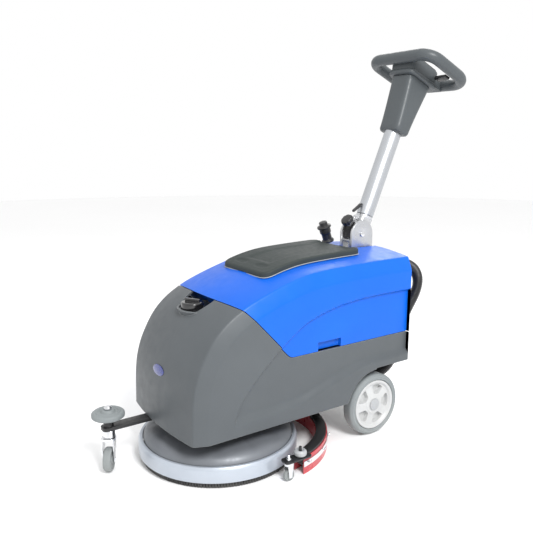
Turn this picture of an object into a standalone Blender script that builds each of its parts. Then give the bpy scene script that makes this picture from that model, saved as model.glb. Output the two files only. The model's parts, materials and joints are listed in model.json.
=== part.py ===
"""Walk-behind floor scrubber with a 460 mm disc brush, two tanks, a curved squeegee and a folding handle.

Metres, +Z up, the floor at Z = 0. The nose points to -Y and the operator walks at +Y. Lengths below are given
from the brush's axis, and one empty carries the whole machine so that its plan box is centred on the origin.
"""
from math import atan2, cos, hypot, pi, radians, sin

import bmesh
import bpy
from mathutils import Matrix, Vector

for old in list(bpy.data.objects):
    bpy.data.objects.remove(old, do_unlink=True)

GAP = 0.0004            # between pieces that touch
RUNNING = 0.0008        # between pieces that turn or slide on each other
WALL = 0.005            # moulded tank walls
SEAM = 0.002            # visible joint between the two tanks
SHEET = 0.004           # folded steel plate

# Both tanks
BODY_HALF = 0.201       # outer half width
BODY_REAR = 0.560       # flat back
BEVEL_WIDE = 0.017      # the long bevel on each side: how far in from the side
BEVEL_DEEP = 0.040      # and how far in from the outline
BODY_LOW = 0.131        # bottom edge of the lower housing
CROWN = 0.016           # rise of the tank top from its edge to its middle
NOSE = [(-0.182, 0.131), (-0.178, 0.241), (-0.167, 0.302), (-0.146, 0.354), (-0.113, 0.407), (-0.072, 0.446),
        (-0.024, 0.475), (0.025, 0.496), (0.097, 0.520), (0.165, 0.538), (0.235, 0.548), (0.350, 0.553),
        (0.460, 0.555)]  # side outline (Y, Z) from the nose's foot over the top, where the bevel starts
TOP_REAR = 0.555
SEAM_FRONT = (-0.026, 0.476)        # joint between the tanks: over the front, down the slope, then level
SEAM_SLOPE = (0.121, 0.322)
SEAM_TURN = 0.136
SEAM_LEVEL = 0.314
NOTCH_HALF = 0.036                  # slot in the tank's back for the handle hinge
NOTCH_FRONT = 0.462
MOUTH = (0.085, 0.135, 0.415)       # the recovery tank's opening: half width, front and back edges
GRIP = (0.227, 0.314, 0.341)        # finger grip in each side: front, back and top
GRIP_DEEP = 0.014

# Filler on the nose
BOSS_Y = -0.046
BOSS_R = 0.072
BOSS_TOP = 0.446
BOSS_FOOT = 0.330
CAP_Y = -0.077
CAP_R = 0.032
CAP_HIGH = 0.022
NECK_R = 0.024

# Brush deck
BRUSH_R = 0.229
BRISTLE_HIGH = 0.024
BLOCK_HIGH = 0.014
BAND_R = BRUSH_R + 0.007
BAND_LOW = 0.018
BAND_HIGH = 0.062
BAND_WALL = 0.003
DOME_TOP = 0.104
SHAFT_R = 0.011
GEAR_R = 0.060
GEAR_HIGH = 0.045
MOTOR_R = 0.052
MOTOR_HIGH = 0.105

# Rear wheels
WHEEL_R = 0.0985
WHEEL_WIDE = 0.045
WHEEL_FACE = BODY_HALF - 0.0025     # outer face of the tyre from the middle
WHEEL_Y = 0.453
RIM_R = WHEEL_R - 0.0195
HUB_R = 0.024
AXLE_R = 0.009
SPOKES = 5
ARCH_R = WHEEL_R + 0.0195
TAIL_LOW = WHEEL_R + ARCH_R + 0.0045    # raised bottom edge behind the wheels
PEDAL = (0.520, 0.190)  # where the lift pedal turns
PLATE_FRONT = -0.168

# Front caster and bumper roller
CASTER_X = -0.070
CASTER_Y = -0.312
CASTER_R = 0.034
CASTER_WIDE = 0.024
CASTER_TRAIL = 0.012
CASTER_HEADING = radians(-34.5)     # where the trail points, from +X
ARM_LOW = 0.119
ARM_THICK = 0.010
ARM_WIDE = 0.036
ROLLER_R = 0.046
ROLLER_LOW = 0.152
ROLLER_HIGH = 0.026
STEM_R = 0.007

# Squeegee: an arc behind the brush
ARC_Y = 0.070
ARC_R = BRUSH_R + 0.025          # the arc passes round the brush
ARC_WIDE = 0.030
BLADE_THICK = 0.003
SQ_LOW = 0.026
SQ_HIGH = 0.056
YOKE_THICK = 0.006
END_ANGLE = radians(10)
END_PLATE = 0.004
END_ROLLER = (ARC_R + 0.011, 0.107)
END_ROLLER_R = 0.018
END_CASTER = (ARC_R + 0.016, 0.064)
END_CASTER_R = 0.016
ELBOW_R = 0.019
ELBOW_Z = 0.095
ROD_X = 0.050
ROD_R = 0.005
LIFT = 0.020            # how far deck and squeegee rise for transport

# Hinge and handle
LEAN = radians(23.7)
PIVOT = (0.537, 0.612)
ARCH_OUT = 0.046
CHEEK_OUT = 0.0285
CHEEK_WALL = 0.0075
HINGE_LOW = 0.500
PIN_R = 0.006
FOOT_R = 0.034
SECTOR_R = 0.041
POLE_FOOT = (0.572, 0.670)          # where the pole's axis leaves the hinge
POLE_R = 0.028
POLE_WALL = 0.003
HEAD_LOW = 0.290                    # heights along the pole from that point
HEAD_TOP = 0.475
COLLAR_HIGH = 0.016
HUB_HIGH = 0.044
RING_AT = 0.520
RING_HALF = 0.131
RING_FRONT = -0.082
RING_BACK = 0.123
RING_TUBE = 0.019

# Lid
LID_FRONT = 0.088
LID_BACK = 0.455
LID_HALF = 0.118
LID_THICK = 0.010
LID_RISE = 0.004        # underside above the tank top's edge

HOSE_R = 0.0175
HOSE_ROUTE = [(0.100, 0.590, 0.520), (0.100, 0.620, 0.519), (0.100, 0.650, 0.515), (0.100, 0.683, 0.505),
              (0.100, 0.712, 0.486), (0.100, 0.729, 0.459), (0.100, 0.731, 0.430), (0.100, 0.720, 0.402),
              (0.100, 0.703, 0.377), (0.100, 0.684, 0.350), (0.100, 0.666, 0.318), (0.100, 0.650, 0.283),
              (0.100, 0.638, 0.247), (0.100, 0.628, 0.211), (0.098, 0.614, 0.180), (0.093, 0.592, 0.157),
              (0.084, 0.563, 0.144), (0.070, 0.530, 0.138), (0.053, 0.497, 0.135), (0.035, 0.463, 0.131),
              (0.019, 0.434, 0.121), (0.007, 0.412, 0.107), (0.001, 0.393, 0.097), (0.000, 0.376, 0.095)]

FRONT_MOST = CASTER_Y - ROLLER_R
REAR_MOST = POLE_FOOT[0] + RING_AT * sin(LEAN) + RING_BACK * cos(LEAN) + RING_TUBE
MIDDLE_Y = (FRONT_MOST + REAR_MOST) / 2

machine = bpy.data.objects.new("machine", None)
machine.location = (0, -MIDDLE_Y, 0)
bpy.context.scene.collection.objects.link(machine)

FINISHES = {
    "grey_moulding": ((0.13, 0.135, 0.14), 0.45, 0.0),
    "blue_moulding": ((0.0, 0.11, 0.72), 0.35, 0.0),
    "lid_grey": ((0.10, 0.105, 0.105), 0.5, 0.0),
    "black_plastic": ((0.012, 0.012, 0.013), 0.45, 0.0),
    "band_silver": ((0.45, 0.52, 0.62), 0.35, 0.3),
    "dome_grey": ((0.09, 0.095, 0.10), 0.5, 0.0),
    "bristle_black": ((0.01, 0.01, 0.01), 0.8, 0.0),
    "tyre_grey": ((0.36, 0.38, 0.37), 0.7, 0.0),
    "rim_white": ((0.82, 0.83, 0.85), 0.35, 0.0),
    "cap_grey": ((0.42, 0.42, 0.45), 0.4, 0.0),
    "cast_silver": ((0.80, 0.80, 0.80), 0.25, 0.9),
    "pole_silver": ((0.78, 0.81, 0.86), 0.3, 0.8),
    "chrome": ((0.85, 0.85, 0.85), 0.12, 1.0),
    "painted_black": ((0.02, 0.02, 0.022), 0.4, 0.0),
    "squeegee_red": ((0.45, 0.02, 0.04), 0.5, 0.0),
    "head_grey": ((0.16, 0.16, 0.165), 0.35, 0.0),
    "badge_blue": ((0.0, 0.03, 0.45), 0.25, 0.0),
    "battery_grey": ((0.06, 0.06, 0.065), 0.5, 0.0),
    "seal_rubber": ((0.03, 0.03, 0.03), 0.8, 0.0),
}


def finish(name):
    """The material of that name, made the first time it is asked for."""
    found = bpy.data.materials.get(name)
    if found:
        return found
    colour, roughness, metallic = FINISHES[name]
    made = bpy.data.materials.new(name)
    made.use_nodes = True
    shader = made.node_tree.nodes["Principled BSDF"]
    shader.inputs["Base Color"].default_value = (*colour, 1)
    shader.inputs["Roughness"].default_value = roughness
    shader.inputs["Metallic"].default_value = metallic
    return made


def piece(name, shape, look, turned_by=None):
    """One named solid from a bmesh, carried by the machine; turned_by places it first."""
    if turned_by is not None:
        bmesh.ops.transform(shape, matrix=turned_by, verts=shape.verts)
    bmesh.ops.recalc_face_normals(shape, faces=shape.faces)
    mesh = bpy.data.meshes.new(name)
    shape.to_mesh(mesh)
    shape.free()
    mesh.shade_smooth()
    mesh.set_sharp_from_angle(angle=radians(35))
    mesh.materials.append(finish(look))
    made = bpy.data.objects.new(name, mesh)
    made.parent = machine
    bpy.context.scene.collection.objects.link(made)
    return made


def cutter(name, shape, turned_by=None):
    """A hidden solid that only shapes others."""
    made = piece(name, shape, "seal_rubber", turned_by)
    made.hide_render = True
    made.display_type = "WIRE"
    return made


def combine(target, tool, operation):
    step = target.modifiers.new(operation.lower() + "_" + tool.name, "BOOLEAN")
    step.operation = operation
    step.object = tool


def block(low, high, shape=None):
    """A rectangular block between two corners."""
    shape = shape or bmesh.new()
    size = Vector(high) - Vector(low)
    middle = (Vector(high) + Vector(low)) / 2
    bmesh.ops.create_cube(shape, size=1, matrix=Matrix.Translation(middle) @ Matrix.Diagonal((*size, 1)))
    return shape


def lofted(sections):
    """A closed solid through rings of points, with flat ends."""
    shape = bmesh.new()
    rings = [[shape.verts.new(point) for point in section] for section in sections]
    count = len(rings[0])
    for one, two in zip(rings, rings[1:]):
        for i in range(count):
            j = (i + 1) % count
            shape.faces.new((one[i], one[j], two[j], two[i]))
    shape.faces.new(rings[0])
    shape.faces.new(rings[-1])
    return shape


def prism(outline, low, high, along="Z"):
    """An outline drawn out along one axis. The outline holds the other two coordinates, in X, Y, Z order."""
    place = {"X": lambda p, t: (t, p[0], p[1]), "Y": lambda p, t: (p[0], t, p[1]),
             "Z": lambda p, t: (p[0], p[1], t)}[along]
    return lofted([[place(p, t) for p in outline] for t in (low, high)])


def revolved(profile, steps=24):
    """A closed profile of (radius, height) turned about Z. A radius of 0 makes a pole."""
    shape = bmesh.new()
    rings = []
    for radius, height in profile:
        turns = [0] if radius == 0 else range(steps)
        rings.append([shape.verts.new((radius * cos(2 * pi * i / steps), radius * sin(2 * pi * i / steps),
                                       height))
                      for i in turns])
    closed = profile[0][0] != 0
    pairs = list(zip(rings, rings[1:] + rings[:1])) if closed else list(zip(rings, rings[1:]))
    for one, two in pairs:
        for i in range(steps):
            j = (i + 1) % steps
            corners = [one[i % len(one)], one[j % len(one)], two[j % len(two)], two[i % len(two)]]
            corners = list(dict.fromkeys(corners))
            if len(corners) > 2:
                shape.faces.new(corners)
    return shape


def disc(radius, low, high, steps=24):
    return revolved([(0, low), (radius, low), (radius, high), (0, high)], steps)


def washer(inner, outer, low, high, steps=24):
    return revolved([(inner, low), (outer, low), (outer, high), (inner, high)], steps)


def swept(path, radius, steps=12, closed=False):
    """A round tube along a path, its cross-section carried round the bends without twisting."""
    points = [Vector(p) for p in path]
    count = len(points)
    shape = bmesh.new()
    rings = []
    side = None
    for i, point in enumerate(points):
        before = points[(i - 1) % count] if closed or i else point
        after = points[(i + 1) % count] if closed or i < count - 1 else point
        along = (after - before).normalized()
        side = (side or along.orthogonal())
        side = (side - along * side.dot(along)).normalized()
        over = along.cross(side)
        turns = [2 * pi * k / steps for k in range(steps)]
        rings.append([shape.verts.new(point + radius * (side * cos(t) + over * sin(t))) for t in turns])
    pairs = list(zip(rings, rings[1:] + rings[:1])) if closed else list(zip(rings, rings[1:]))
    for one, two in pairs:
        for k in range(steps):
            m = (k + 1) % steps
            shape.faces.new((one[k], one[m], two[m], two[k]))
    if not closed:
        shape.faces.new(rings[0])
        shape.faces.new(rings[-1])
    return shape


def arc(centre, radius, start, end, steps):
    return [(centre[0] + radius * cos(start + (end - start) * i / steps),
             centre[1] + radius * sin(start + (end - start) * i / steps)) for i in range(steps + 1)]


def rounded_box(left, right, low, high, corner, steps=4):
    """Outline of a rectangle with round corners, anticlockwise."""
    points = []
    for cx, cy, start in ((right - corner, low + corner, -pi / 2), (right - corner, high - corner, 0),
                          (left + corner, high - corner, pi / 2), (left + corner, low + corner, pi)):
        points += arc((cx, cy), corner, start, start + pi / 2, steps)
    return points


def at(x, y, z):
    return Matrix.Translation((x, y, z))


def lying_x(x, y, z):
    """Turns a shape made about Z so that its axis runs along +X."""
    return at(x, y, z) @ Matrix.Rotation(pi / 2, 4, "Y")


# ---------------------------------------------------------------------------------------------- tank bodies

def outline_normals():
    """Outward direction at each point of the side outline; the foot faces forward and the last point up."""
    normals = []
    for i, point in enumerate(NOSE):
        if i == 0:
            normals.append((-1.0, 0.0))
            continue
        before = NOSE[i - 1]
        after = NOSE[i + 1] if i + 1 < len(NOSE) else (BODY_REAR, TOP_REAR)
        dy, dz = after[0] - before[0], after[1] - before[1]
        normals.append((-dz / hypot(dy, dz), dy / hypot(dy, dz)))
    return normals


def body_section(x, grow, foot):
    """One slice across the body: the side outline moved out by grow, down to the height foot."""
    points = [(x, y + ny * grow, z + nz * grow) for (y, z), (ny, nz) in zip(NOSE, outline_normals())]
    points[0] = (x, points[0][1], foot)
    rear = BODY_REAR - (WALL if foot < BODY_LOW else 0)
    return points + [(x, rear, points[-1][2]), (x, rear, foot)]


def crown_at(share):
    """How far the outline bows out at a share of the half width, 0 in the middle and 1 at the bevel."""
    return CROWN * (1 - share ** 2)


def body_solid(inset=0.0):
    """The whole body, or with an inset the hollow inside its wall, which runs on past the bottom."""
    foot = BODY_LOW - (0.02 if inset else 0)
    inner_half = BODY_HALF - BEVEL_WIDE - inset * 0.6
    outer_half = BODY_HALF - inset
    sections = []
    for x, share in ((-inner_half, 1), (-0.62 * inner_half, 0.62), (-0.3 * inner_half, 0.3), (0, 0),
                     (0.3 * inner_half, 0.3), (0.62 * inner_half, 0.62), (inner_half, 1)):
        sections.append(body_section(x, crown_at(share) - inset, foot))
    for x in (-outer_half, outer_half):
        bevelled = body_section(x, -BEVEL_DEEP - inset * 0.4, foot)
        sections.insert(0 if x < 0 else len(sections), bevelled)
    return lofted(sections)


def above_seam(lift):
    """Everything above the joint between the tanks, moved up by lift."""
    slope = atan2(SEAM_FRONT[1] - SEAM_SLOPE[1], SEAM_SLOPE[0] - SEAM_FRONT[0])
    over_y, over_z = lift * sin(slope), lift * cos(slope)
    ahead = -0.30
    start = (SEAM_FRONT[0] + over_y, SEAM_FRONT[1] + over_z)
    outline = [(ahead, start[1] + (start[0] - ahead) * 0.3), start,
               (SEAM_SLOPE[0] + over_y * 0.6, SEAM_SLOPE[1] + over_z),
               (SEAM_TURN + over_y * 0.3, SEAM_LEVEL + lift),
               (0.70, SEAM_LEVEL + lift), (0.70, 0.70), (ahead, 0.70)]
    return prism(outline, -0.30, 0.30, "X")


def grip_blocks(grow):
    """The finger grips' pockets on both sides, or with grow the blocks that hold their walls."""
    inner = BODY_HALF - GRIP_DEEP - grow
    shape = block((inner, GRIP[0] - grow, SEAM_LEVEL - 0.02), (0.23, GRIP[1] + grow, GRIP[2] + grow))
    return block((-0.23, GRIP[0] - grow, SEAM_LEVEL - 0.02), (-inner, GRIP[1] + grow, GRIP[2] + grow), shape)


def notch_block(grow):
    return block((-NOTCH_HALF - grow, NOTCH_FRONT - grow, 0.20), (NOTCH_HALF + grow, 0.70, 0.70))


def recovery_tank():
    hollow = cutter("tank_hollow", body_solid(WALL))
    combine(hollow, cutter("above_tank_floor", above_seam(SEAM / 2 + WALL)), "INTERSECT")
    combine(hollow, cutter("notch_wall", notch_block(WALL)), "DIFFERENCE")
    combine(hollow, cutter("grip_walls", grip_blocks(WALL)), "DIFFERENCE")
    tank = piece("recovery_tank", body_solid(), "blue_moulding")
    combine(tank, cutter("above_joint", above_seam(SEAM / 2)), "INTERSECT")
    combine(tank, hollow, "DIFFERENCE")
    combine(tank, cutter("hinge_notch", notch_block(0)), "DIFFERENCE")
    combine(tank, cutter("finger_grips", grip_blocks(0)), "DIFFERENCE")
    half, front, back = MOUTH
    combine(tank, cutter("tank_mouth", block((-half, front, 0.50), (half, back, 0.65))), "DIFFERENCE")
    x, start, z = HOSE_ROUTE[0]
    rear = at(x, BODY_REAR, z) @ Matrix.Rotation(-pi / 2, 4, "X")
    spigot = revolved([(0, -0.001), (HOSE_R + 0.008, -0.001), (HOSE_R + 0.008, 0.004),
                       (HOSE_R + 0.003, 0.006),
                       (HOSE_R + 0.003, start - BODY_REAR - GAP), (0, start - BODY_REAR - GAP)])
    combine(tank, cutter("tank_inlet", spigot, rear), "UNION")
    combine(tank, cutter("tank_inlet_bore", disc(HOSE_R - 0.004, -0.02, 0.04, 16), rear), "DIFFERENCE")


def lower_housing():
    """The grey shell: open below for the brush and at the joint above, arched over the wheels."""
    shell = piece("lower_housing", body_solid(), "grey_moulding")
    combine(shell, cutter("filler_boss", filler_boss()), "UNION")
    combine(shell, cutter("housing_hollow", body_solid(WALL)), "DIFFERENCE")
    combine(shell, cutter("above_housing", above_seam(-SEAM / 2)), "DIFFERENCE")
    arch = arc((WHEEL_Y, WHEEL_R), ARCH_R, pi, pi / 2, 8)
    arch = [(arch[0][0], 0.05)] + arch + [(0.70, TAIL_LOW), (0.70, 0.05)]
    arch[9] = (WHEEL_Y, TAIL_LOW)
    combine(shell, cutter("wheel_arches", prism(arch, -0.30, 0.30, "X")), "DIFFERENCE")
    pocket = disc(BOSS_R - 0.010, BOSS_TOP, 0.60, 32)
    combine(shell, cutter("filler_pocket", pocket, at(0, BOSS_Y - 0.004, 0)), "DIFFERENCE")
    neck = disc(NECK_R + 0.001, BOSS_TOP - 0.002, BOSS_TOP + CAP_HIGH - 0.006)
    combine(shell, cutter("filler_neck", neck, at(0, CAP_Y, 0)), "UNION")
    combine(shell, cutter("filler_hole", disc(NECK_R - 0.004, 0.40, 0.60), at(0, CAP_Y, 0)), "DIFFERENCE")


def filler_boss():
    """A half-cone on the nose, hollow inside except for its top, which is the shelf for the cap."""
    shape = revolved([(0, BOSS_FOOT), (0.012, BOSS_FOOT), (BOSS_R, BOSS_TOP), (BOSS_R, BOSS_TOP + 0.004),
                      (0, BOSS_TOP + 0.004)], 32)
    bmesh.ops.transform(shape, matrix=at(0, BOSS_Y, 0), verts=shape.verts)
    return shape


def filler():
    """The cap that screws over the neck on the nose."""
    floor = BOSS_TOP + GAP
    skirt = NECK_R + 0.001 + RUNNING
    top = floor + CAP_HIGH
    cap = revolved([(0, top - 0.004), (skirt, top - 0.004), (skirt, floor + GAP), (CAP_R, floor + GAP),
                    (CAP_R, top - 0.002), (CAP_R - 0.002, top), (0, top)], 28)
    body = piece("filler_cap", cap, "black_plastic", at(0, CAP_Y, 0))
    grip = block((-CAP_R * 0.75, -0.004, top - 0.001), (CAP_R * 0.75, 0.004, top + 0.008))
    combine(body, cutter("filler_cap_grip", grip, at(0, CAP_Y, 0) @ Matrix.Rotation(radians(30), 4, "Z")),
            "UNION")


def nose_point(z):
    """Where the middle of the nose stands at height z, and how much it leans back there."""
    middle = [(y + ny * CROWN, h + nz * CROWN) for (y, h), (ny, nz) in zip(NOSE, outline_normals())]
    for (y0, z0), (y1, z1) in zip(middle, middle[1:]):
        if z0 <= z <= z1:
            return y0 + (y1 - y0) * (z - z0) / (z1 - z0), atan2(y1 - y0, z1 - z0)
    return middle[0][0], 0.0


def badge():
    """The blank oval plate on the nose."""
    y, lean = nose_point(0.288)
    oval = [(0.032 * cos(2 * pi * i / 28), 0.0145 * sin(2 * pi * i / 28)) for i in range(28)]
    plate = prism(oval, -GAP - 0.0022, -GAP - 0.0002, "Y")
    piece("badge", plate, "badge_blue", at(0, y - 0.0004, 0.288) @ Matrix.Rotation(-lean, 4, "X"))


# ------------------------------------------------------------------------------------------- lid and fittings

def tank_top(y, share=1.0):
    """Height of the tank's top at y; share is 1 at the bevel and 0 in the middle."""
    line = NOSE + [(BODY_REAR, TOP_REAR)]
    for (y0, z0), (y1, z1) in zip(line, line[1:]):
        if y0 <= y <= y1:
            return z0 + (z1 - z0) * (y - y0) / (y1 - y0) + crown_at(share)
    return TOP_REAR


def lid_sections(bottom, top, half, front, back, corner=0.0):
    """Slices from front to back that follow the tank's top, with bottom and top added to its height."""
    sections = []
    steps = 9
    for i in range(steps + 1):
        y = front + (back - front) * i / steps
        pinch = half - (corner if i in (0, steps) else 0)
        height = tank_top(y, 0.0)
        xs = (-pinch, -0.5 * pinch, 0.5 * pinch, pinch)
        sections.append([(x, y, height + bottom) for x in xs] + [(x, y, height + top) for x in reversed(xs)])
    return sections


def lid():
    slices = lid_sections(LID_RISE, LID_RISE + LID_THICK, LID_HALF, LID_FRONT, LID_BACK, 0.018)
    plate = piece("tank_lid", lofted(slices), "lid_grey")
    channel = lofted(lid_sections(LID_RISE + LID_THICK - 0.004, LID_RISE + 0.03, 0.060, LID_FRONT + 0.05,
                                  0.50))
    combine(plate, cutter("lid_channel", channel), "DIFFERENCE")
    hinge_z = tank_top(LID_BACK, 0.0) + LID_RISE + LID_THICK / 2
    for name, x in (("left", 0.085), ("right", -0.085)):
        ear = prism(arc((LID_BACK + 0.002, hinge_z), 0.006, 0, 2 * pi, 12)[:-1], x - 0.012, x + 0.012, "X")
        combine(plate, cutter("lid_ear_" + name, ear), "UNION")
    half, front, back = MOUTH
    outer = lid_sections(0.0006, LID_RISE - RUNNING, half + 0.012, front - 0.012, back + 0.012)
    seal = piece("lid_seal", lofted(outer), "seal_rubber")
    inner = block((-half - 0.003, front - 0.003, 0.50), (half + 0.003, back + 0.003, 0.65))
    combine(seal, cutter("lid_seal_hole", inner), "DIFFERENCE")


def drain_fitting():
    """The end of the drain hose parked behind the lid: a stepped cuff, and the flanged cap plugged into it."""
    tilt = at(-0.100, 0.503, tank_top(0.503, 0.55) + 0.001) @ Matrix.Rotation(radians(20), 4, "X")
    cuff = revolved([(0.010, 0), (0.021, 0), (0.021, 0.006), (0.016, 0.010), (0.016, 0.030), (0.019, 0.034),
                     (0.019, 0.052), (0.010, 0.052)], 20)
    piece("drain_cuff", cuff, "black_plastic", tilt @ at(0, 0, 0.008))
    floor = 0.060 + GAP
    plug = revolved([(0, floor - 0.012), (0.0094, floor - 0.012), (0.0094, floor), (0.024, floor),
                     (0.024, floor + 0.005), (0.014, floor + 0.008), (0.014, floor + 0.020),
                     (0, floor + 0.020)], 20)
    piece("drain_cap", plug, "black_plastic", tilt)


# ----------------------------------------------------------------------------------------- chassis and inside

def chassis():
    """One folded steel plate: low at the front, stepped up over the axle, with hangers for the axle."""
    step = 0.350
    low, high = BODY_LOW + 0.005, TAIL_LOW - 0.006
    outline = [(PLATE_FRONT, low), (step, low), (step, high), (BODY_REAR - 0.012, high),
               (BODY_REAR - 0.012, high + SHEET), (step - SHEET, high + SHEET), (step - SHEET, low + SHEET),
               (PLATE_FRONT, low + SHEET)]
    plate = piece("chassis_frame", prism(outline, -0.150, 0.150, "X"), "painted_black")
    hangers = block((0.120, WHEEL_Y - 0.022, WHEEL_R - 0.020), (0.124, WHEEL_Y + 0.022, high + 0.002))
    hangers = block((-0.124, WHEEL_Y - 0.022, WHEEL_R - 0.020), (-0.120, WHEEL_Y + 0.022, high + 0.002),
                    hangers)
    combine(plate, cutter("axle_hangers", hangers), "UNION")
    hanger = block((-0.088 + RUNNING, PEDAL[0] - 0.008, PEDAL[1] - 0.010),
                   (-0.080, PEDAL[0] + 0.008, high + 0.002))
    combine(plate, cutter("pedal_hanger", hanger), "UNION")
    combine(plate, cutter("pedal_pin", disc(0.004, -0.098, -0.084, 12), lying_x(0, *PEDAL)), "UNION")
    combine(plate, cutter("motor_hole", disc(GEAR_R + 0.012, 0.10, 0.20, 32)), "DIFFERENCE")
    combine(plate, cutter("axle_bore", disc(AXLE_R + GAP, -0.15, 0.15, 16), lying_x(0, WHEEL_Y, WHEEL_R)),
            "DIFFERENCE")
    for name, x in (("left", ROD_X), ("right", -ROD_X)):
        rod_foot = SQ_HIGH + YOKE_THICK + LIFT + 3 * RUNNING
        rod = disc(ROD_R, rod_foot, low + 0.002, 16)
        combine(plate, cutter(f"guide_rod_{name}", rod, at(x, ARC_Y + ARC_R, 0)), "UNION")
    water_hole = disc(0.010, 0.10, 0.20, 12)
    combine(plate, cutter("water_hole", water_hole, at(-0.105, -0.030, 0)), "DIFFERENCE")
    return low, high


def inside(low, high):
    """Batteries on the low plate; vacuum motor, control unit and handle post on the raised one."""
    floor = low + SHEET + GAP
    battery_rear = WHEEL_Y - ARCH_R + 0.003
    for name, side in (("battery_left", 1), ("battery_right", -1)):
        case = block((side * 0.084 - 0.0775, 0.212, floor),
                     (side * 0.084 + 0.0775, battery_rear, floor + 0.160))
        body = piece(name, case, "battery_grey")
        for y in (0.235, battery_rear - 0.023):
            post = disc(0.006, floor + 0.159, floor + 0.166, 10)
            combine(body, cutter(f"{name}_post_{round(y * 1000)}", post, at(side * 0.084, y, 0)), "UNION")
    deck_high = high + SHEET + GAP
    barrel = revolved([(0, -0.065), (0.030, -0.065), (0.038, -0.055), (0.038, 0.020), (0.030, 0.024),
                       (0.030, 0.060), (0, 0.060)])
    piece("vacuum_motor", barrel, "cast_silver", lying_x(-0.085, 0.430, deck_high + 0.0385))
    unit = block((0.045, 0.390, deck_high), (0.135, 0.480, deck_high + 0.060))
    piece("control_unit", unit, "black_plastic")
    post = block((-0.020, 0.500, deck_high), (0.020, 0.545, HINGE_LOW - GAP))
    piece("handle_post", post, "painted_black")
    valve = piece("solution_valve", block((-0.125, -0.055, floor), (-0.085, -0.005, floor + 0.035)),
                  "black_plastic")
    tube = disc(0.006, DOME_TOP - 0.001, floor + 0.002, 12)
    combine(valve, cutter("solution_tube", tube, at(-0.105, -0.030, 0)), "UNION")


def rear_axle():
    reach = WHEEL_FACE - 0.004
    piece("rear_axle", disc(AXLE_R, -reach, reach, 16), "painted_black", lying_x(0, WHEEL_Y, WHEEL_R))


def rear_wheels():
    """Rubber tyre on a five-spoked rim, with a cap over the axle's end."""
    half = WHEEL_WIDE / 2
    tyre = revolved([(RIM_R, -half + 0.003), (RIM_R + 0.006, -half), (WHEEL_R - 0.007, -half),
                     (WHEEL_R, -half + 0.007), (WHEEL_R, half - 0.007), (WHEEL_R - 0.007, half),
                     (RIM_R + 0.006, half), (RIM_R, half - 0.003)], 36)
    outer = RIM_R - GAP
    rim = revolved([(AXLE_R + RUNNING, -half + 0.002), (HUB_R, -half + 0.002), (HUB_R, -0.006),
                    (outer - 0.007, -0.006), (outer - 0.007, -half + 0.005), (outer, -half + 0.005),
                    (outer, half - 0.005), (outer - 0.007, half - 0.003), (outer - 0.011, half - 0.010),
                    (HUB_R + 0.004, half - 0.010), (HUB_R, half - 0.004), (AXLE_R + RUNNING, half - 0.004)],
                    30)
    cap = revolved([(0, half - 0.003), (HUB_R - 0.003, half - 0.003), (HUB_R - 0.006, half + 0.001),
                    (0, half + 0.002)], 20)
    for name, side in (("left", 1), ("right", -1)):
        place = at(side * (WHEEL_FACE - half), WHEEL_Y, WHEEL_R) @ Matrix.Rotation(side * pi / 2, 4, "Y")
        piece(f"{name}_tyre", tyre.copy(), "tyre_grey", place)
        body = piece(f"{name}_rim", rim.copy(), "rim_white", place)
        for k in range(SPOKES):
            middle = 2 * pi * k / SPOKES
            wedge = [(r * cos(middle + t), r * sin(middle + t))
                     for r, t in ((HUB_R + 0.007, -0.20), (outer - 0.013, -0.36), (outer - 0.011, 0),
                                  (outer - 0.013, 0.36), (HUB_R + 0.007, 0.20))]
            window = cutter(f"{name}_rim_window_{k}", prism(wedge, -0.03, 0.03), place)
            combine(body, window, "DIFFERENCE")
        piece(f"{name}_hub_cap", cap.copy(), "cap_grey", place)


# ------------------------------------------------------------------------------------------ caster and roller

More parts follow.
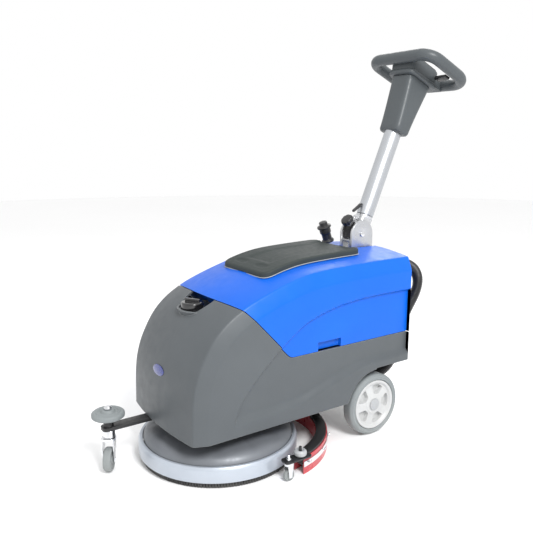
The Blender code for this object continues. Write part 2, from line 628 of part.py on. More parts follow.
def front_caster():
    """A flat arm carries a swivel caster below and a bumper roller above, both on one stem."""
    arm = prism(rounded_box(CASTER_X - ARM_WIDE / 2, CASTER_X + ARM_WIDE / 2, CASTER_Y - 0.020, -0.140,
                            0.012),
                ARM_LOW, ARM_LOW + ARM_THICK)
    body = piece("front_arm", arm, "painted_black")
    riser = block((CASTER_X - 0.014, PLATE_FRONT + 0.002, ARM_LOW + ARM_THICK - 0.001),
                  (CASTER_X + 0.014, -0.142, BODY_LOW + 0.005 - GAP))
    combine(body, cutter("arm_riser", riser), "UNION")
    boss = disc(0.014, ARM_LOW, ROLLER_LOW - 0.004, 20)
    combine(body, cutter("arm_boss", boss, at(CASTER_X, CASTER_Y, 0)), "UNION")
    combine(body, cutter("stem_bore", disc(STEM_R + RUNNING, 0.10, 0.2, 16), at(CASTER_X, CASTER_Y, 0)),
            "DIFFERENCE")
    low = ROLLER_LOW
    roller = revolved([(STEM_R + RUNNING, low), (0.018, low), (0.020, low + 0.004),
                       (ROLLER_R - 0.004, low + 0.002),
                       (ROLLER_R, low + 0.006), (ROLLER_R, low + ROLLER_HIGH - 0.010),
                       (ROLLER_R - 0.006, low + ROLLER_HIGH - 0.004), (0.022, low + ROLLER_HIGH - 0.007),
                       (0.016, low + ROLLER_HIGH), (STEM_R + RUNNING, low + ROLLER_HIGH)], 28)
    piece("bumper_roller", roller, "tyre_grey", at(CASTER_X, CASTER_Y, 0))
    top = low + ROLLER_HIGH + RUNNING
    fork_top = ARM_LOW - RUNNING
    stem = revolved([(0, 0.085), (STEM_R, 0.085), (STEM_R, top), (0.011, top), (0.011, top + 0.005),
                     (0.006, top + 0.009), (0, top + 0.009)], 16)
    heading = at(CASTER_X, CASTER_Y, 0) @ Matrix.Rotation(CASTER_HEADING, 4, "Z")
    crown = piece("caster_fork", prism(rounded_box(-0.016, 0.024, -0.019, 0.019, 0.010), fork_top - 0.028,
                                       fork_top - 0.020), "chrome", heading)
    combine(crown, cutter("caster_stem", stem, heading), "UNION")
    combine(crown, cutter("caster_race", disc(0.017, fork_top - 0.022, fork_top, 20), heading), "UNION")
    for side in (-1, 1):
        inner = side * (CASTER_WIDE / 2 + 0.002)
        leg = [(-0.012, fork_top - 0.021), (0.022, fork_top - 0.021),
               (CASTER_TRAIL + 0.009, CASTER_R - 0.006),
               (CASTER_TRAIL - 0.009, CASTER_R - 0.006)]
        plate = prism(leg, min(inner, inner + side * 0.003), max(inner, inner + side * 0.003), "Y")
        combine(crown, cutter(f"caster_leg_{'left' if side > 0 else 'right'}", plate, heading), "UNION")
    across = heading @ at(CASTER_TRAIL, 0, CASTER_R) @ Matrix.Rotation(-pi / 2, 4, "X")
    combine(crown, cutter("caster_axle", disc(0.004, -0.0195, 0.0195, 12), across), "UNION")
    half = CASTER_WIDE / 2
    wheel = revolved([(0.004 + RUNNING, -half), (0.012, -half), (0.014, -half + 0.003),
                      (CASTER_R - 0.003, -half + 0.001), (CASTER_R, -half + 0.005), (CASTER_R, half - 0.005),
                      (CASTER_R - 0.003, half - 0.001), (0.014, half - 0.003), (0.012, half),
                      (0.004 + RUNNING, half)], 28)
    piece("caster_wheel", wheel, "tyre_grey", across)


# --------------------------------------------------------------------------------------------------- the deck

def brush_deck():
    """Dome, band, motor and gearbox rise together; block and bristles turn below them."""
    inner = BAND_R - BAND_WALL
    edge = inner - GAP
    dome = revolved([(SHAFT_R + RUNNING, DOME_TOP - 0.004), (0.110, DOME_TOP - 0.004), (0.168, 0.089),
                     (0.205, 0.076), (edge - 0.004, BAND_HIGH - 0.006), (edge - 0.003, BAND_HIGH - 0.014),
                     (edge, BAND_HIGH - 0.014), (edge, BAND_HIGH + 0.002), (0.208, 0.082), (0.170, 0.094),
                     (0.112, DOME_TOP), (SHAFT_R + RUNNING, DOME_TOP)], 44)
    body = piece("deck_dome", dome, "dome_grey")
    combine(body, cutter("dome_water_hole", disc(0.009, 0.06, 0.14, 12), at(-0.105, -0.030, 0)), "DIFFERENCE")
    band = revolved([(inner, BAND_LOW), (BAND_R, BAND_LOW), (BAND_R, BAND_HIGH - 0.004),
                     (BAND_R - 0.0015, BAND_HIGH), (inner, BAND_HIGH)], 56)
    piece("splash_band", band, "band_silver")
    low = DOME_TOP + GEAR_HIGH
    motor = revolved([(SHAFT_R + RUNNING, DOME_TOP + GAP), (GEAR_R, DOME_TOP + GAP), (GEAR_R, low - 0.006),
                      (GEAR_R - 0.006, low), (MOTOR_R, low), (MOTOR_R, low + MOTOR_HIGH - 0.012),
                      (MOTOR_R - 0.010, low + MOTOR_HIGH), (0, low + MOTOR_HIGH), (0, DOME_TOP + 0.022),
                      (SHAFT_R + RUNNING, DOME_TOP + 0.022)], 32)
    piece("brush_motor", motor, "painted_black")
    block_low = BRISTLE_HIGH + GAP
    block_top = block_low + BLOCK_HIGH
    drive = revolved([(0, block_low), (BRUSH_R - 0.006, block_low), (BRUSH_R - 0.004, block_low + 0.004),
                      (BRUSH_R - 0.008, block_top), (0.030, block_top), (0.026, 0.070), (SHAFT_R, 0.074),
                      (SHAFT_R, DOME_TOP + 0.020), (0, DOME_TOP + 0.020)], 36)
    piece("brush_block", drive, "black_plastic")
    bristles = revolved([(0.060, 0), (BRUSH_R, 0), (BRUSH_R - 0.006, BRISTLE_HIGH), (0.066, BRISTLE_HIGH)],
                        44)
    piece("brush_bristles", bristles, "bristle_black")


def lift_pedal():
    """Foot lever at the back that raises the deck."""
    pivot = PEDAL
    bar = prism([(pivot[0] - 0.010, pivot[1] - 0.008), (pivot[0] + 0.092, pivot[1] - 0.040),
                 (pivot[0] + 0.094, pivot[1] - 0.032), (pivot[0] + 0.008, pivot[1] + 0.010),
                 (pivot[0] - 0.010, pivot[1] + 0.010)], -0.096, -0.088, "X")
    body = piece("lift_pedal", bar, "painted_black")
    pad = prism([(pivot[0] + 0.070, pivot[1] - 0.036), (pivot[0] + 0.110, pivot[1] - 0.046),
                 (pivot[0] + 0.112, pivot[1] - 0.040), (pivot[0] + 0.072, pivot[1] - 0.026)], -0.125, -0.065,
                 "X")
    combine(body, cutter("pedal_pad", pad), "UNION")
    combine(body, cutter("pedal_bore", disc(0.004 + RUNNING, -0.2, 0.2, 12), lying_x(0, *pivot)),
            "DIFFERENCE")


# --------------------------------------------------------------------------------------------------- squeegee

def arc_band(inner, outer, low, high, spare=0.0):
    """A curved bar round the squeegee's centre, from one end angle to the other."""
    start, end = END_ANGLE + spare, pi - END_ANGLE - spare
    ring = arc((0, ARC_Y), inner, start, end, 36)
    back = arc((0, ARC_Y), outer, end, start, 36)
    return prism(ring + back, low, high)


def squeegee():
    """Curved body with two blades, a clamp band outside, end plates, end rollers and end casters."""
    inner, outer = ARC_R - ARC_WIDE / 2, ARC_R + ARC_WIDE / 2
    body = piece("squeegee_body", arc_band(inner, outer, SQ_LOW, SQ_HIGH), "black_plastic")
    combine(body, cutter("squeegee_channel", arc_band(inner + 0.005, outer - 0.005, 0.0, SQ_HIGH - 0.008,
                                                      0.03)),
            "DIFFERENCE")
    suction = disc(ELBOW_R - 0.005, 0.02, 0.07, 16)
    combine(body, cutter("suction_hole", suction, at(0, ARC_Y + ARC_R, 0)), "DIFFERENCE")
    for name, side in (("left", 1), ("right", -1)):
        reach = sorted((side * (ARC_R - 0.004), side * (ARC_R + 0.030)))
        plate = prism(rounded_box(reach[0], reach[1], END_CASTER[1] - 0.016, END_ROLLER[1] + 0.030, 0.010),
                      SQ_HIGH - 0.001, SQ_HIGH - 0.001 + END_PLATE)
        combine(body, cutter(f"end_plate_{name}", plate), "UNION")
        bolt = disc(0.004, SQ_HIGH + 0.001, SQ_HIGH + 0.030, 12)
        combine(body, cutter(f"end_bolt_{name}", bolt, at(side * END_ROLLER[0], END_ROLLER[1], 0)), "UNION")
        bore = disc(0.0035 + RUNNING, 0.04, 0.08, 12)
        combine(body, cutter(f"end_bore_{name}", bore, at(side * END_CASTER[0], END_CASTER[1], 0)),
                "DIFFERENCE")
        end_parts(name, side)
    piece("rear_blade", arc_band(outer + GAP, outer + GAP + BLADE_THICK, 0, SQ_HIGH - 0.006), "squeegee_red")
    front_outer = inner - GAP
    piece("front_blade", arc_band(front_outer - BLADE_THICK, front_outer, 0.001, SQ_HIGH - 0.008),
          "squeegee_red")
    clamp_in = outer + GAP + BLADE_THICK + GAP
    piece("blade_clamp", arc_band(clamp_in, clamp_in + 0.0015, 0.022, 0.038), "chrome")


def end_parts(name, side):
    """At each end of the squeegee: a roller on a bolt, and a small caster."""
    low = SQ_HIGH + END_PLATE - 0.001 + RUNNING
    roller = revolved([(0.004 + RUNNING, low), (END_ROLLER_R - 0.003, low), (END_ROLLER_R, low + 0.004),
                       (END_ROLLER_R, low + 0.012), (END_ROLLER_R - 0.004, low + 0.017),
                       (0.004 + RUNNING, low + 0.017)])
    piece(f"{name}_end_roller", roller, "cap_grey", at(side * END_ROLLER[0], END_ROLLER[1], 0))
    place = at(side * END_CASTER[0], END_CASTER[1], 0)
    under = SQ_HIGH - 0.001 - RUNNING
    fork = piece(f"{name}_end_fork", prism(rounded_box(-0.011, 0.011, -0.011, 0.011, 0.004, 2),
                                           under - 0.004, under),
                 "chrome", place)
    top = under + END_PLATE + 2 * RUNNING
    stem = revolved([(0, under - 0.001), (0.0035, under - 0.001), (0.0035, top), (0.007, top),
                     (0.007, top + 0.005),
                     (0.0035, top + 0.007), (0.0035, top + 0.014), (0, top + 0.018)], 12)
    combine(fork, cutter(f"{name}_end_stem", stem, place), "UNION")
    for cheek in (-1, 1):
        reach = sorted((cheek * 0.0085, cheek * 0.0105))
        leg = prism([(-0.009, under - 0.002), (0.009, under - 0.002), (0.005, END_CASTER_R - 0.005),
                     (-0.005, END_CASTER_R - 0.005)], reach[0], reach[1], "X")
        tag = "inner" if cheek < 0 else "outer"
        combine(fork, cutter(f"{name}_end_leg_{tag}", leg, place), "UNION")
    pin = disc(0.0025, -0.0095, 0.0095, 10)
    combine(fork, cutter(f"{name}_end_pin", pin, place @ lying_x(0, 0, END_CASTER_R)), "UNION")
    wheel = revolved([(0.0025 + RUNNING, -0.007), (END_CASTER_R - 0.002, -0.007), (END_CASTER_R, -0.005),
                      (END_CASTER_R, 0.005), (END_CASTER_R - 0.002, 0.007), (0.0025 + RUNNING, 0.007)], 20)
    piece(f"{name}_end_wheel", wheel, "tyre_grey", place @ lying_x(0, 0, END_CASTER_R))


def squeegee_mount():
    """The yoke that rises on two guide rods, and the suction elbow that the squeegee turns about."""
    y = ARC_Y + ARC_R
    low = SQ_HIGH + RUNNING
    yoke = piece("squeegee_yoke", prism(rounded_box(-0.066, 0.066, y - 0.027, y + 0.027, 0.012), low,
                                        low + YOKE_THICK),
                 "painted_black")
    combine(yoke, cutter("yoke_middle", disc(ELBOW_R + 0.0015, 0.04, 0.08), at(0, y, 0)), "DIFFERENCE")
    for name, x in (("left", ROD_X), ("right", -ROD_X)):
        guide = washer(ROD_R + RUNNING, ROD_R + 0.004, low + 0.0012, low + 0.036, 20)
        combine(yoke, cutter(f"yoke_guide_{name}", guide, at(x, y, 0)), "UNION")
    turn = ELBOW_Z - low - 0.004
    bend = [(0, y + turn * (1 - cos(t)), low + 0.004 + turn * sin(t)) for t in (0, pi / 8, pi / 4,
                                                                                3 * pi / 8, pi / 2)]
    end = HOSE_ROUTE[-1][1] - 0.002
    path = [(0, y, low)] + bend + [(0, end, ELBOW_Z)]
    elbow = piece("suction_elbow", swept(path, ELBOW_R, 16), "black_plastic")
    longer = [(0, y, low - 0.01)] + bend + [(0, end + 0.01, ELBOW_Z)]
    combine(elbow, cutter("elbow_bore", swept(longer, ELBOW_R - 0.005, 16)), "DIFFERENCE")


def vacuum_hose():
    """The ribbed hose from the tank's inlet round behind the body and under the axle to the squeegee."""
    line = smooth_line(HOSE_ROUTE, 2)
    data = bpy.data.curves.new("vacuum_hose", "CURVE")
    data.dimensions = "3D"
    data.bevel_depth = HOSE_R
    data.bevel_resolution = 3
    data.use_fill_caps = True
    spline = data.splines.new("POLY")
    spline.points.add(len(line) - 1)
    for point, place in zip(spline.points, line):
        point.co = (*place, 1)
    data.materials.append(finish("black_plastic"))
    made = bpy.data.objects.new("vacuum_hose", data)
    made.parent = machine
    bpy.context.scene.collection.objects.link(made)


def smooth_line(route, between):
    """Points on a Catmull-Rom curve through the route, with some between each two of its own."""
    points = [Vector(p) for p in route]
    points = [2 * points[0] - points[1]] + points + [2 * points[-1] - points[-2]]
    line = []
    for a, b, c, d in zip(points, points[1:], points[2:], points[3:]):
        for k in range(between):
            t = k / between
            line.append(0.5 * ((2 * b) + (c - a) * t + (2 * a - 5 * b + 4 * c - d) * t ** 2
                               + (3 * b - a - 3 * c + d) * t ** 3))
    return line + [points[-2]]


# ----------------------------------------------------------------------------------------------------- handle

POLE = (at(0, POLE_FOOT[0], POLE_FOOT[1]) @ Matrix.Rotation(-LEAN, 4, "X"))


def hinge():
    """Die-cast hinge: two arched cheeks on a base, the pin, and the pole's foot with its ribbed sector."""
    y, z = PIVOT
    side = [(y + ARCH_OUT, HINGE_LOW)] + arc((y, z), ARCH_OUT, 0, pi, 14) + [(y - ARCH_OUT, HINGE_LOW)]
    bracket = piece("hinge_bracket", prism(side, -CHEEK_OUT, CHEEK_OUT, "X"), "cast_silver")
    inner = CHEEK_OUT - CHEEK_WALL
    wall_top = z - 0.016
    slot = [(y - SECTOR_R - 2 * RUNNING, HINGE_LOW + 0.008), (y + ARCH_OUT + 0.01, HINGE_LOW + 0.008),
            (y + ARCH_OUT + 0.01, 0.70), (y - ARCH_OUT - 0.01, 0.70), (y - ARCH_OUT - 0.01, wall_top),
            (y - SECTOR_R - 2 * RUNNING, wall_top)]
    combine(bracket, cutter("hinge_slot", prism(slot, -inner, inner, "X")), "DIFFERENCE")
    window = block((-0.013, y - ARCH_OUT - 0.01, z - 0.045), (0.013, y - ARCH_OUT + 0.02, z - 0.024))
    combine(bracket, cutter("hinge_window", window), "DIFFERENCE")
    combine(bracket, cutter("hinge_bore", disc(PIN_R + GAP, -0.05, 0.05, 16), lying_x(0, y, z)), "DIFFERENCE")
    head = CHEEK_OUT + GAP
    pin = revolved([(0, -head - 0.003), (0.009, -head - 0.003), (0.009, -head), (PIN_R, -head), (PIN_R, head),
                    (0.009, head), (0.009, head + 0.003), (0, head + 0.003)], 16)
    piece("hinge_pin", pin, "chrome", lying_x(0, y, z))


def pole_foot():
    y, z = PIVOT
    inner = CHEEK_OUT - CHEEK_WALL - 2 * RUNNING
    foot = piece("pole_foot", disc(FOOT_R, -inner, inner, 32), "cast_silver", lying_x(0, y, z))
    neck = lofted([rounded_ring(inner - 0.001, -0.024, 0.020, 0.006, -0.062),
                   rounded_ring(0.0205, -0.026, 0.026, 0.010, -0.012),
                   rounded_ring(0.027, -0.027, 0.027, 0.026, -0.003)])
    combine(foot, cutter("foot_neck", neck, POLE), "UNION")
    spigot = disc(POLE_R - POLE_WALL - GAP, -0.004, 0.060, 24)
    combine(foot, cutter("foot_spigot", spigot, POLE), "UNION")
    outward = at(0, y, z) @ Matrix.Rotation(radians(42), 4, "X")
    web = prism([(-0.044, -0.026), (-0.024, -0.026), (-0.022, -0.008), (-0.040, -0.014)], -0.004, 0.004, "X")
    combine(foot, cutter("knob_web", web, POLE), "UNION")
    lug = block((-0.010, -0.010, SECTOR_R + 0.0022), (0.010, 0.032, SECTOR_R + 0.0077))
    combine(foot, cutter("knob_lug", lug, outward), "UNION")
    combine(foot, cutter("knob_bore", disc(0.006 + RUNNING, 0.036, 0.060, 16), outward), "DIFFERENCE")
    combine(foot, cutter("foot_bore", disc(PIN_R + RUNNING, -0.05, 0.05, 16), lying_x(0, y, z)), "DIFFERENCE")
    start, end = radians(112), radians(196)
    sector = arc((y, z), FOOT_R + GAP, start, end, 12) + arc((y, z), SECTOR_R, end, start, 12)
    piece("tooth_sector", prism(sector, -inner, inner, "X"), "black_plastic")
    knob = revolved([(0, 0.0), (0.006, 0.0), (0.006, 0.009), (0.013, 0.010), (0.021, 0.014), (0.021, 0.026),
                     (0.017, 0.030), (0, 0.031)], 20)
    piece("fold_knob", knob, "black_plastic", outward @ at(0, 0, SECTOR_R + GAP))
    back = -POLE_R - 0.002
    lever = prism([(back - 0.026, -0.004), (back - 0.022, -0.009), (back, 0.020), (back, 0.030),
                   (back - 0.005, 0.028)], -0.005, 0.005, "X")
    piece("fold_lever", lever, "black_plastic", POLE)


def rounded_ring(half, back, front, corner, height):
    return [(x, y, height) for x, y in rounded_box(-half, half, back, front, corner, 4)]


def pole():
    tube = washer(POLE_R - POLE_WALL, POLE_R, 0, HEAD_LOW + 0.110, 28)
    piece("pole", tube, "pole_silver", POLE)


def head():
    """Tapered column, collar, and the steering ring moulded onto its hub."""
    column = lofted([rounded_ring(0.040, -0.026, 0.028, 0.012, HEAD_LOW),
                     rounded_ring(0.046, -0.032, 0.034, 0.015, HEAD_LOW + 0.008),
                     rounded_ring(0.045, -0.052, 0.058, 0.018, HEAD_TOP)])
    body = piece("head_column", column, "head_grey", POLE)
    combine(body, cutter("column_bore", disc(POLE_R + GAP, HEAD_LOW - 0.02, HEAD_LOW + 0.111, 28), POLE),
            "DIFFERENCE")
    low = HEAD_TOP + GAP
    collar = lofted([rounded_ring(0.050, -0.058, 0.066, 0.020, low),
                     rounded_ring(0.056, -0.065, 0.078, 0.022, low + 0.004),
                     rounded_ring(0.056, -0.065, 0.078, 0.022, low + COLLAR_HIGH)])
    low = low + COLLAR_HIGH
    ring = [(x, y, RING_AT) for x, y in ring_line()]
    wheel = piece("handle_ring", swept(ring, RING_TUBE, 12, closed=True), "head_grey", POLE)
    combine(wheel, cutter("head_collar", collar, POLE), "UNION")
    hub = lofted([rounded_ring(0.052, -0.062, 0.072, 0.020, low - 0.002),
                  rounded_ring(0.050, -0.070, 0.070, 0.020, low + HUB_HIGH)])
    combine(wheel, cutter("ring_hub", hub, POLE), "UNION")
    tail = block((-0.030, 0.050, low + 0.006), (0.030, RING_BACK, RING_AT + 0.012))
    combine(wheel, cutter("ring_tail", tail, POLE), "UNION")
    return low + HUB_HIGH


def ring_line():
    """The steering ring's middle line: a straight front bar, flared sides and a rounder back."""
    front = 0.045
    back = 0.062
    half = RING_HALF
    points = arc((half - front, RING_FRONT + front), front, -pi / 2, 0, 6)
    points += arc((half - back, RING_BACK - back), back, 0, pi / 2, 7)
    points += [(-x, y) for x, y in reversed(points)]
    return points


def controls(top):
    """Panel on the hub with key, two rockers and a charge gauge, and a start trigger under each hand."""
    low = top + GAP
    panel = lofted([rounded_ring(0.046, -0.060, 0.062, 0.014, low),
                    rounded_ring(0.044, -0.058, 0.060, 0.014, low + 0.004)])
    face = piece("control_panel", panel, "black_plastic", POLE)
    top = low + 0.004
    key_y, rocker_y, gauge_y = 0.042, 0.006, -0.034
    for name, x in (("brush", 0.020), ("vacuum", -0.020)):
        pocket = block((x - 0.0105, rocker_y - 0.0145, low - 0.0002),
                       (x + 0.0105, rocker_y + 0.0145, top + 0.01))
        combine(face, cutter(f"{name}_pocket", pocket, POLE), "DIFFERENCE")
        outline = [(rocker_y - 0.0135, low + 0.0022), (rocker_y + 0.0135, low + 0.0022),
                   (rocker_y + 0.0135, top + 0.0050),
                   (rocker_y, top + 0.0028), (rocker_y - 0.0135, top + 0.0050)]
        piece(f"{name}_switch", prism(outline, x - 0.0095, x + 0.0095, "X"), "squeegee_red", POLE)
    key = revolved([(0, top + RUNNING), (0.009, top + RUNNING), (0.009, top + 0.004), (0, top + 0.004)], 16)
    knob = piece("key_switch", key, "chrome", POLE @ at(0, key_y, 0))
    blade = block((-0.0015, -0.008, top + 0.003), (0.0015, 0.008, top + 0.022))
    combine(knob, cutter("key_blade", blade, POLE @ at(0, key_y, 0)), "UNION")
    gauge = block((-0.022, gauge_y - 0.010, low + 0.001), (0.022, gauge_y + 0.010, top + 0.003))
    combine(face, cutter("charge_gauge", gauge, POLE), "UNION")
    for name, side in (("left", 1), ("right", -1)):
        paddle = [(side * 0.0535, RING_AT - 0.014), (side * 0.0600, RING_AT - 0.016),
                  (side * 0.096, RING_AT - 0.010),
                  (side * 0.098, RING_AT - 0.002), (side * 0.0600, RING_AT - 0.004),
                  (side * 0.0535, RING_AT - 0.004)]
        piece(f"{name}_trigger", prism(paddle, 0.046, 0.070, "Y"), "black_plastic", POLE)


lower_housing()
recovery_tank()
filler()
badge()
lid()
drain_fitting()
plate_low, plate_high = chassis()
inside(plate_low, plate_high)
rear_axle()
rear_wheels()
front_caster()
brush_deck()
lift_pedal()
squeegee()
squeegee_mount()
vacuum_hose()
hinge()
pole_foot()
pole()
hub_top = head()
controls(hub_top)
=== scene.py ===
# %% [markdown]
# # A walk-behind floor scrubber
# Lower housing with the fresh water and the batteries, a blue recovery tank on top of it, a round brush
# deck in front, a curved squeegee behind, two big wheels and a folding pole with a steering ring. The frame
# below brings every solid, joint and box of the working model. This file gives those pieces their finished
# shape and surface.

# %% Load the frame
import json
from math import cos, pi, radians, sin

import bmesh
import bpy
import numpy as np
from mathutils import Matrix, Vector


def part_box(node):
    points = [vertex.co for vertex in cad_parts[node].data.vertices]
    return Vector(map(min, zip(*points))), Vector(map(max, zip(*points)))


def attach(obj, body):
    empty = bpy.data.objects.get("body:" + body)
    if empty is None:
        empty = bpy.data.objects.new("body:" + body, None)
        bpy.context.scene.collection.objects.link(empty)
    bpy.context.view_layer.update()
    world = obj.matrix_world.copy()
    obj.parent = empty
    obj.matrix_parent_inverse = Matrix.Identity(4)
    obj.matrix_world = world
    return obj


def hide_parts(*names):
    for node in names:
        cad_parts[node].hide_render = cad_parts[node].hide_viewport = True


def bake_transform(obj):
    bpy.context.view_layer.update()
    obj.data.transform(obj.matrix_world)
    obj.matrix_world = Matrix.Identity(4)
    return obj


for startup in ("Cube", "Camera", "Light"):
    if startup in bpy.data.objects:
        bpy.data.objects.remove(bpy.data.objects[startup], do_unlink=True)
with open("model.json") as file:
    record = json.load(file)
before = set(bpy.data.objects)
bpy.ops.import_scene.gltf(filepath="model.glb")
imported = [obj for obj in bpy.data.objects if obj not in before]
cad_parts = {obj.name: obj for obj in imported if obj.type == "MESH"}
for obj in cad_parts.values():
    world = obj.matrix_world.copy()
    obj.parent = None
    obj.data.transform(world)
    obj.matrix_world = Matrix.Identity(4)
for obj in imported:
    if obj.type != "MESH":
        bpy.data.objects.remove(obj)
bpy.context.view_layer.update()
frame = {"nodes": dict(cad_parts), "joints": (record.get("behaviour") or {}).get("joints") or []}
JOINT = {joint["name"]: joint for joint in frame["joints"]}
AXIS_Y = JOINT["brush_spin"]["pos_m"][1]    # the brush's axis, from which all lengths below are given
HOME = Matrix.Translation((0, AXIS_Y, 0))
print(len(frame["nodes"]), "nodes; brush axis at Y", round(AXIS_Y, 4))


def own_box(node):
    """A node's two corners, measured from the brush's axis."""
    low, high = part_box(node)
    return Vector(low) - HOME.translation, Vector(high) - HOME.translation


# %% [markdown]
# ## Camera, floor and light
# The machine is seen from its front left corner, a little above the tank. It stands on a pale sweep, which
# here is a wide disc. White surroundings give most of the light. Four area lamps shape it: a key lamp on
# the camera's side, and faint ones overhead, in front and behind.

# %% Camera, floor and light
EYE = Vector((1.534, -1.1563, 0.908))
LOOK_AT = Vector((-0.244, 0.0667, 0.481))
FLOOR_R = 9.0


def aim(made, place, target):
    made.location = place
    made.rotation_euler = (Vector(target) - Vector(place)).to_track_quat("-Z", "Y").to_euler()
    bpy.context.scene.collection.objects.link(made)
    return made


def soft_box(name, place, target, side, watts):
    """A square area lamp that looks at the target."""
    lamp = bpy.data.lights.new(name, "AREA")
    lamp.shape = "SQUARE"
    lamp.size = side
    lamp.energy = watts
    return aim(bpy.data.objects.new(name, lamp), place, target)


def set_stage():
    lens = bpy.data.cameras.new("camera")
    lens.lens = 42.54
    lens.sensor_width = 36
    bpy.context.scene.camera = aim(bpy.data.objects.new("camera", lens), EYE, LOOK_AT)
    soft_box("overhead", (0.2, 0.1, 3.0), (0, 0, 0.4), 2.0, 5)
    soft_box("key", (2.3, -0.5, 2.4), (0, 0.1, 0.4), 0.9, 92)
    soft_box("front", (-0.3, -2.8, 1.3), (0, 0, 0.4), 1.6, 2)
    soft_box("rim", (-1.6, 2.2, 2.0), (0, 0.3, 0.6), 1.4, 16)
    world = bpy.data.worlds.new("studio")
    world.use_nodes = True
    world.node_tree.nodes["Background"].inputs["Color"].default_value = (1.0, 1.0, 1.0, 1)
    world.node_tree.nodes["Background"].inputs["Strength"].default_value = 1.0
    bpy.context.scene.world = world
    bpy.context.scene.view_settings.view_transform = "Standard"
    ground = bmesh.new()
    bmesh.ops.create_circle(ground, cap_ends=True, segments=96, radius=FLOOR_R)
    mesh = bpy.data.meshes.new("studio_floor")
    ground.to_mesh(mesh)
    floor = bpy.data.objects.new("studio_floor", mesh)
    bpy.context.scene.collection.objects.link(floor)
    return floor


studio_floor = set_stage()
print("camera", round((LOOK_AT - EYE).length, 3), "m from what it looks at")

# %% [markdown]
# ## Finishes
# Nearly everything here is moulded plastic, rubber, painted steel or bright metal. They share one build: a
# slow noise makes the colour drift a little, a fine one gives the grain of the mould, a middle one makes
# the gloss uneven, and a rounded-edge test paints corners paler: mostly a painted highlight along edges
# and seams, partly wear where handling has polished them.
# What differs is the scale and the strength of each, so every finish below is one call with its own
# numbers.

# %% Shader helpers
def add(tree, kind, inputs, **settings):
    """A new shader node with its settings, and its inputs as numbers or as links from other sockets."""
    node = tree.nodes.new("ShaderNode" + kind)
    for key, value in settings.items():
        setattr(node, key, value)
    for key, value in inputs.items():
        if isinstance(value, bpy.types.NodeSocket):
            tree.links.new(value, node.inputs[key])
        else:
            node.inputs[key].default_value = value
    return node


def blend_colours(tree, factor, first, second):
    """Colour first where the factor is 0, and second where it is 1."""
    node = add(tree, "Mix", {0: factor, 6: first, 7: second}, data_type="RGBA")
    return node.outputs[2]


def shade(colour, amount):
    return tuple(min(1.0, channel * amount) for channel in colour[:3]) + (1.0,)


def finish(name, colour, roughness, metallic=0.0, mottle=0.06, patch=7.0, grain=650.0, depth=0.00010,
           edge=0.35,
           edge_round=0.0012, stretch=(1, 1, 1), coat=0.0, specular=0.5, dust=0.0):
    """One material. patch and grain are noise scales per metre, depth the bump's height in metres, edge how
    much paler the edges are painted: a painted highlight, partly wear.
    """
    made = bpy.data.materials.new(name)
    made.use_nodes = True
    tree = made.node_tree
    shader = tree.nodes["Principled BSDF"]
    shader.inputs["Metallic"].default_value = metallic
    shader.inputs["Coat Weight"].default_value = coat
    shader.inputs["Coat Roughness"].default_value = 0.12
    shader.inputs["Specular IOR Level"].default_value = specular
    place = add(tree, "TexCoord", {}).outputs["Object"]
    stretched = add(tree, "Mapping", {"Vector": place, "Scale": stretch}).outputs["Vector"]
    slow = add(tree, "TexNoise", {"Vector": place, "Scale": patch, "Detail": 4.0,
                                  "Roughness": 0.6}).outputs[0]
    middle = add(tree, "TexNoise", {"Vector": stretched, "Scale": grain * 0.09, "Detail": 3.0}).outputs[0]
    fine = add(tree, "TexNoise", {"Vector": stretched, "Scale": grain, "Detail": 2.0}).outputs[0]
    drift = add(tree, "MapRange", {"Value": slow, "From Min": 0.3, "From Max": 0.7}).outputs[0]
    hue = blend_colours(tree, drift, shade(colour, 1 - mottle), shade(colour, 1 + mottle))
    flecks = add(tree, "MapRange", {"Value": fine, "From Min": 0.35, "From Max": 0.75,
                                    "To Max": mottle * 2}).outputs[0]
    hue = blend_colours(tree, flecks, hue, shade(colour, 1.35))
    round_edge = add(tree, "Bevel", {"Radius": edge_round}, samples=4).outputs["Normal"]
    flat = add(tree, "NewGeometry", {}).outputs["Normal"]
    turn = add(tree, "VectorMath", {0: round_edge, 1: flat}, operation="DOT_PRODUCT").outputs["Value"]
    # Edges painted paler: mostly a painted highlight along rounded edges and seams, partly handling wear.
    rim = add(tree, "MapRange", {"Value": turn, "From Min": 0.995, "From Max": 0.86,
                                 "To Max": edge}).outputs[0]
    edge_highlight_and_wear = tuple(0.55 * channel + 0.30 for channel in colour[:3]) + (1.0,)
    hue = blend_colours(tree, rim, hue, edge_highlight_and_wear)
    if dust:
        height = add(tree, "SeparateXYZ", {"Vector": place}).outputs["Z"]
        low = add(tree, "MapRange", {"Value": height, "From Min": 0.12, "From Max": 0.0,
                                     "To Max": dust}).outputs[0]
        patches = add(tree, "Math", {0: low, 1: drift}, operation="MULTIPLY").outputs[0]
        hue = blend_colours(tree, patches, hue, (0.42, 0.40, 0.37, 1))
    tree.links.new(hue, shader.inputs["Base Color"])
    gloss = add(tree, "MapRange", {"Value": middle, "From Min": 0.3, "From Max": 0.7,
                                   "To Min": roughness - 0.05, "To Max": roughness + 0.06}).outputs[0]
    tree.links.new(gloss, shader.inputs["Roughness"])
    bump = add(tree, "Bump", {"Height": fine, "Distance": depth, "Strength": 1.0, "Normal": round_edge})
    tree.links.new(bump.outputs["Normal"], shader.inputs["Normal"])
    return made


# %% Moulded shells
def grey_moulding():
    """Rotation-moulded polyethylene in middle grey, with the soft orange-peel skin of the oven."""
    return finish("grey_moulding", (0.078, 0.087, 0.094), 0.42, specular=0.3, edge=0.7, edge_round=0.002,
                  grain=420, depth=0.00012, mottle=0.05, dust=0.15)


def blue_moulding():
    """The same plastic in a strong blue, a little glossier."""
    return finish("blue_moulding", (0.002, 0.100, 0.55), 0.36, specular=0.25, grain=420, depth=0.00009,
                  mottle=0.05, edge=0.2)


def lid_grey():
    """Grained injection-moulded lid, matter than the tank."""
    return finish("lid_grey", (0.038, 0.045, 0.044), 0.55, specular=0.12, grain=900, depth=0.00012,
                  mottle=0.06, edge=0.5)


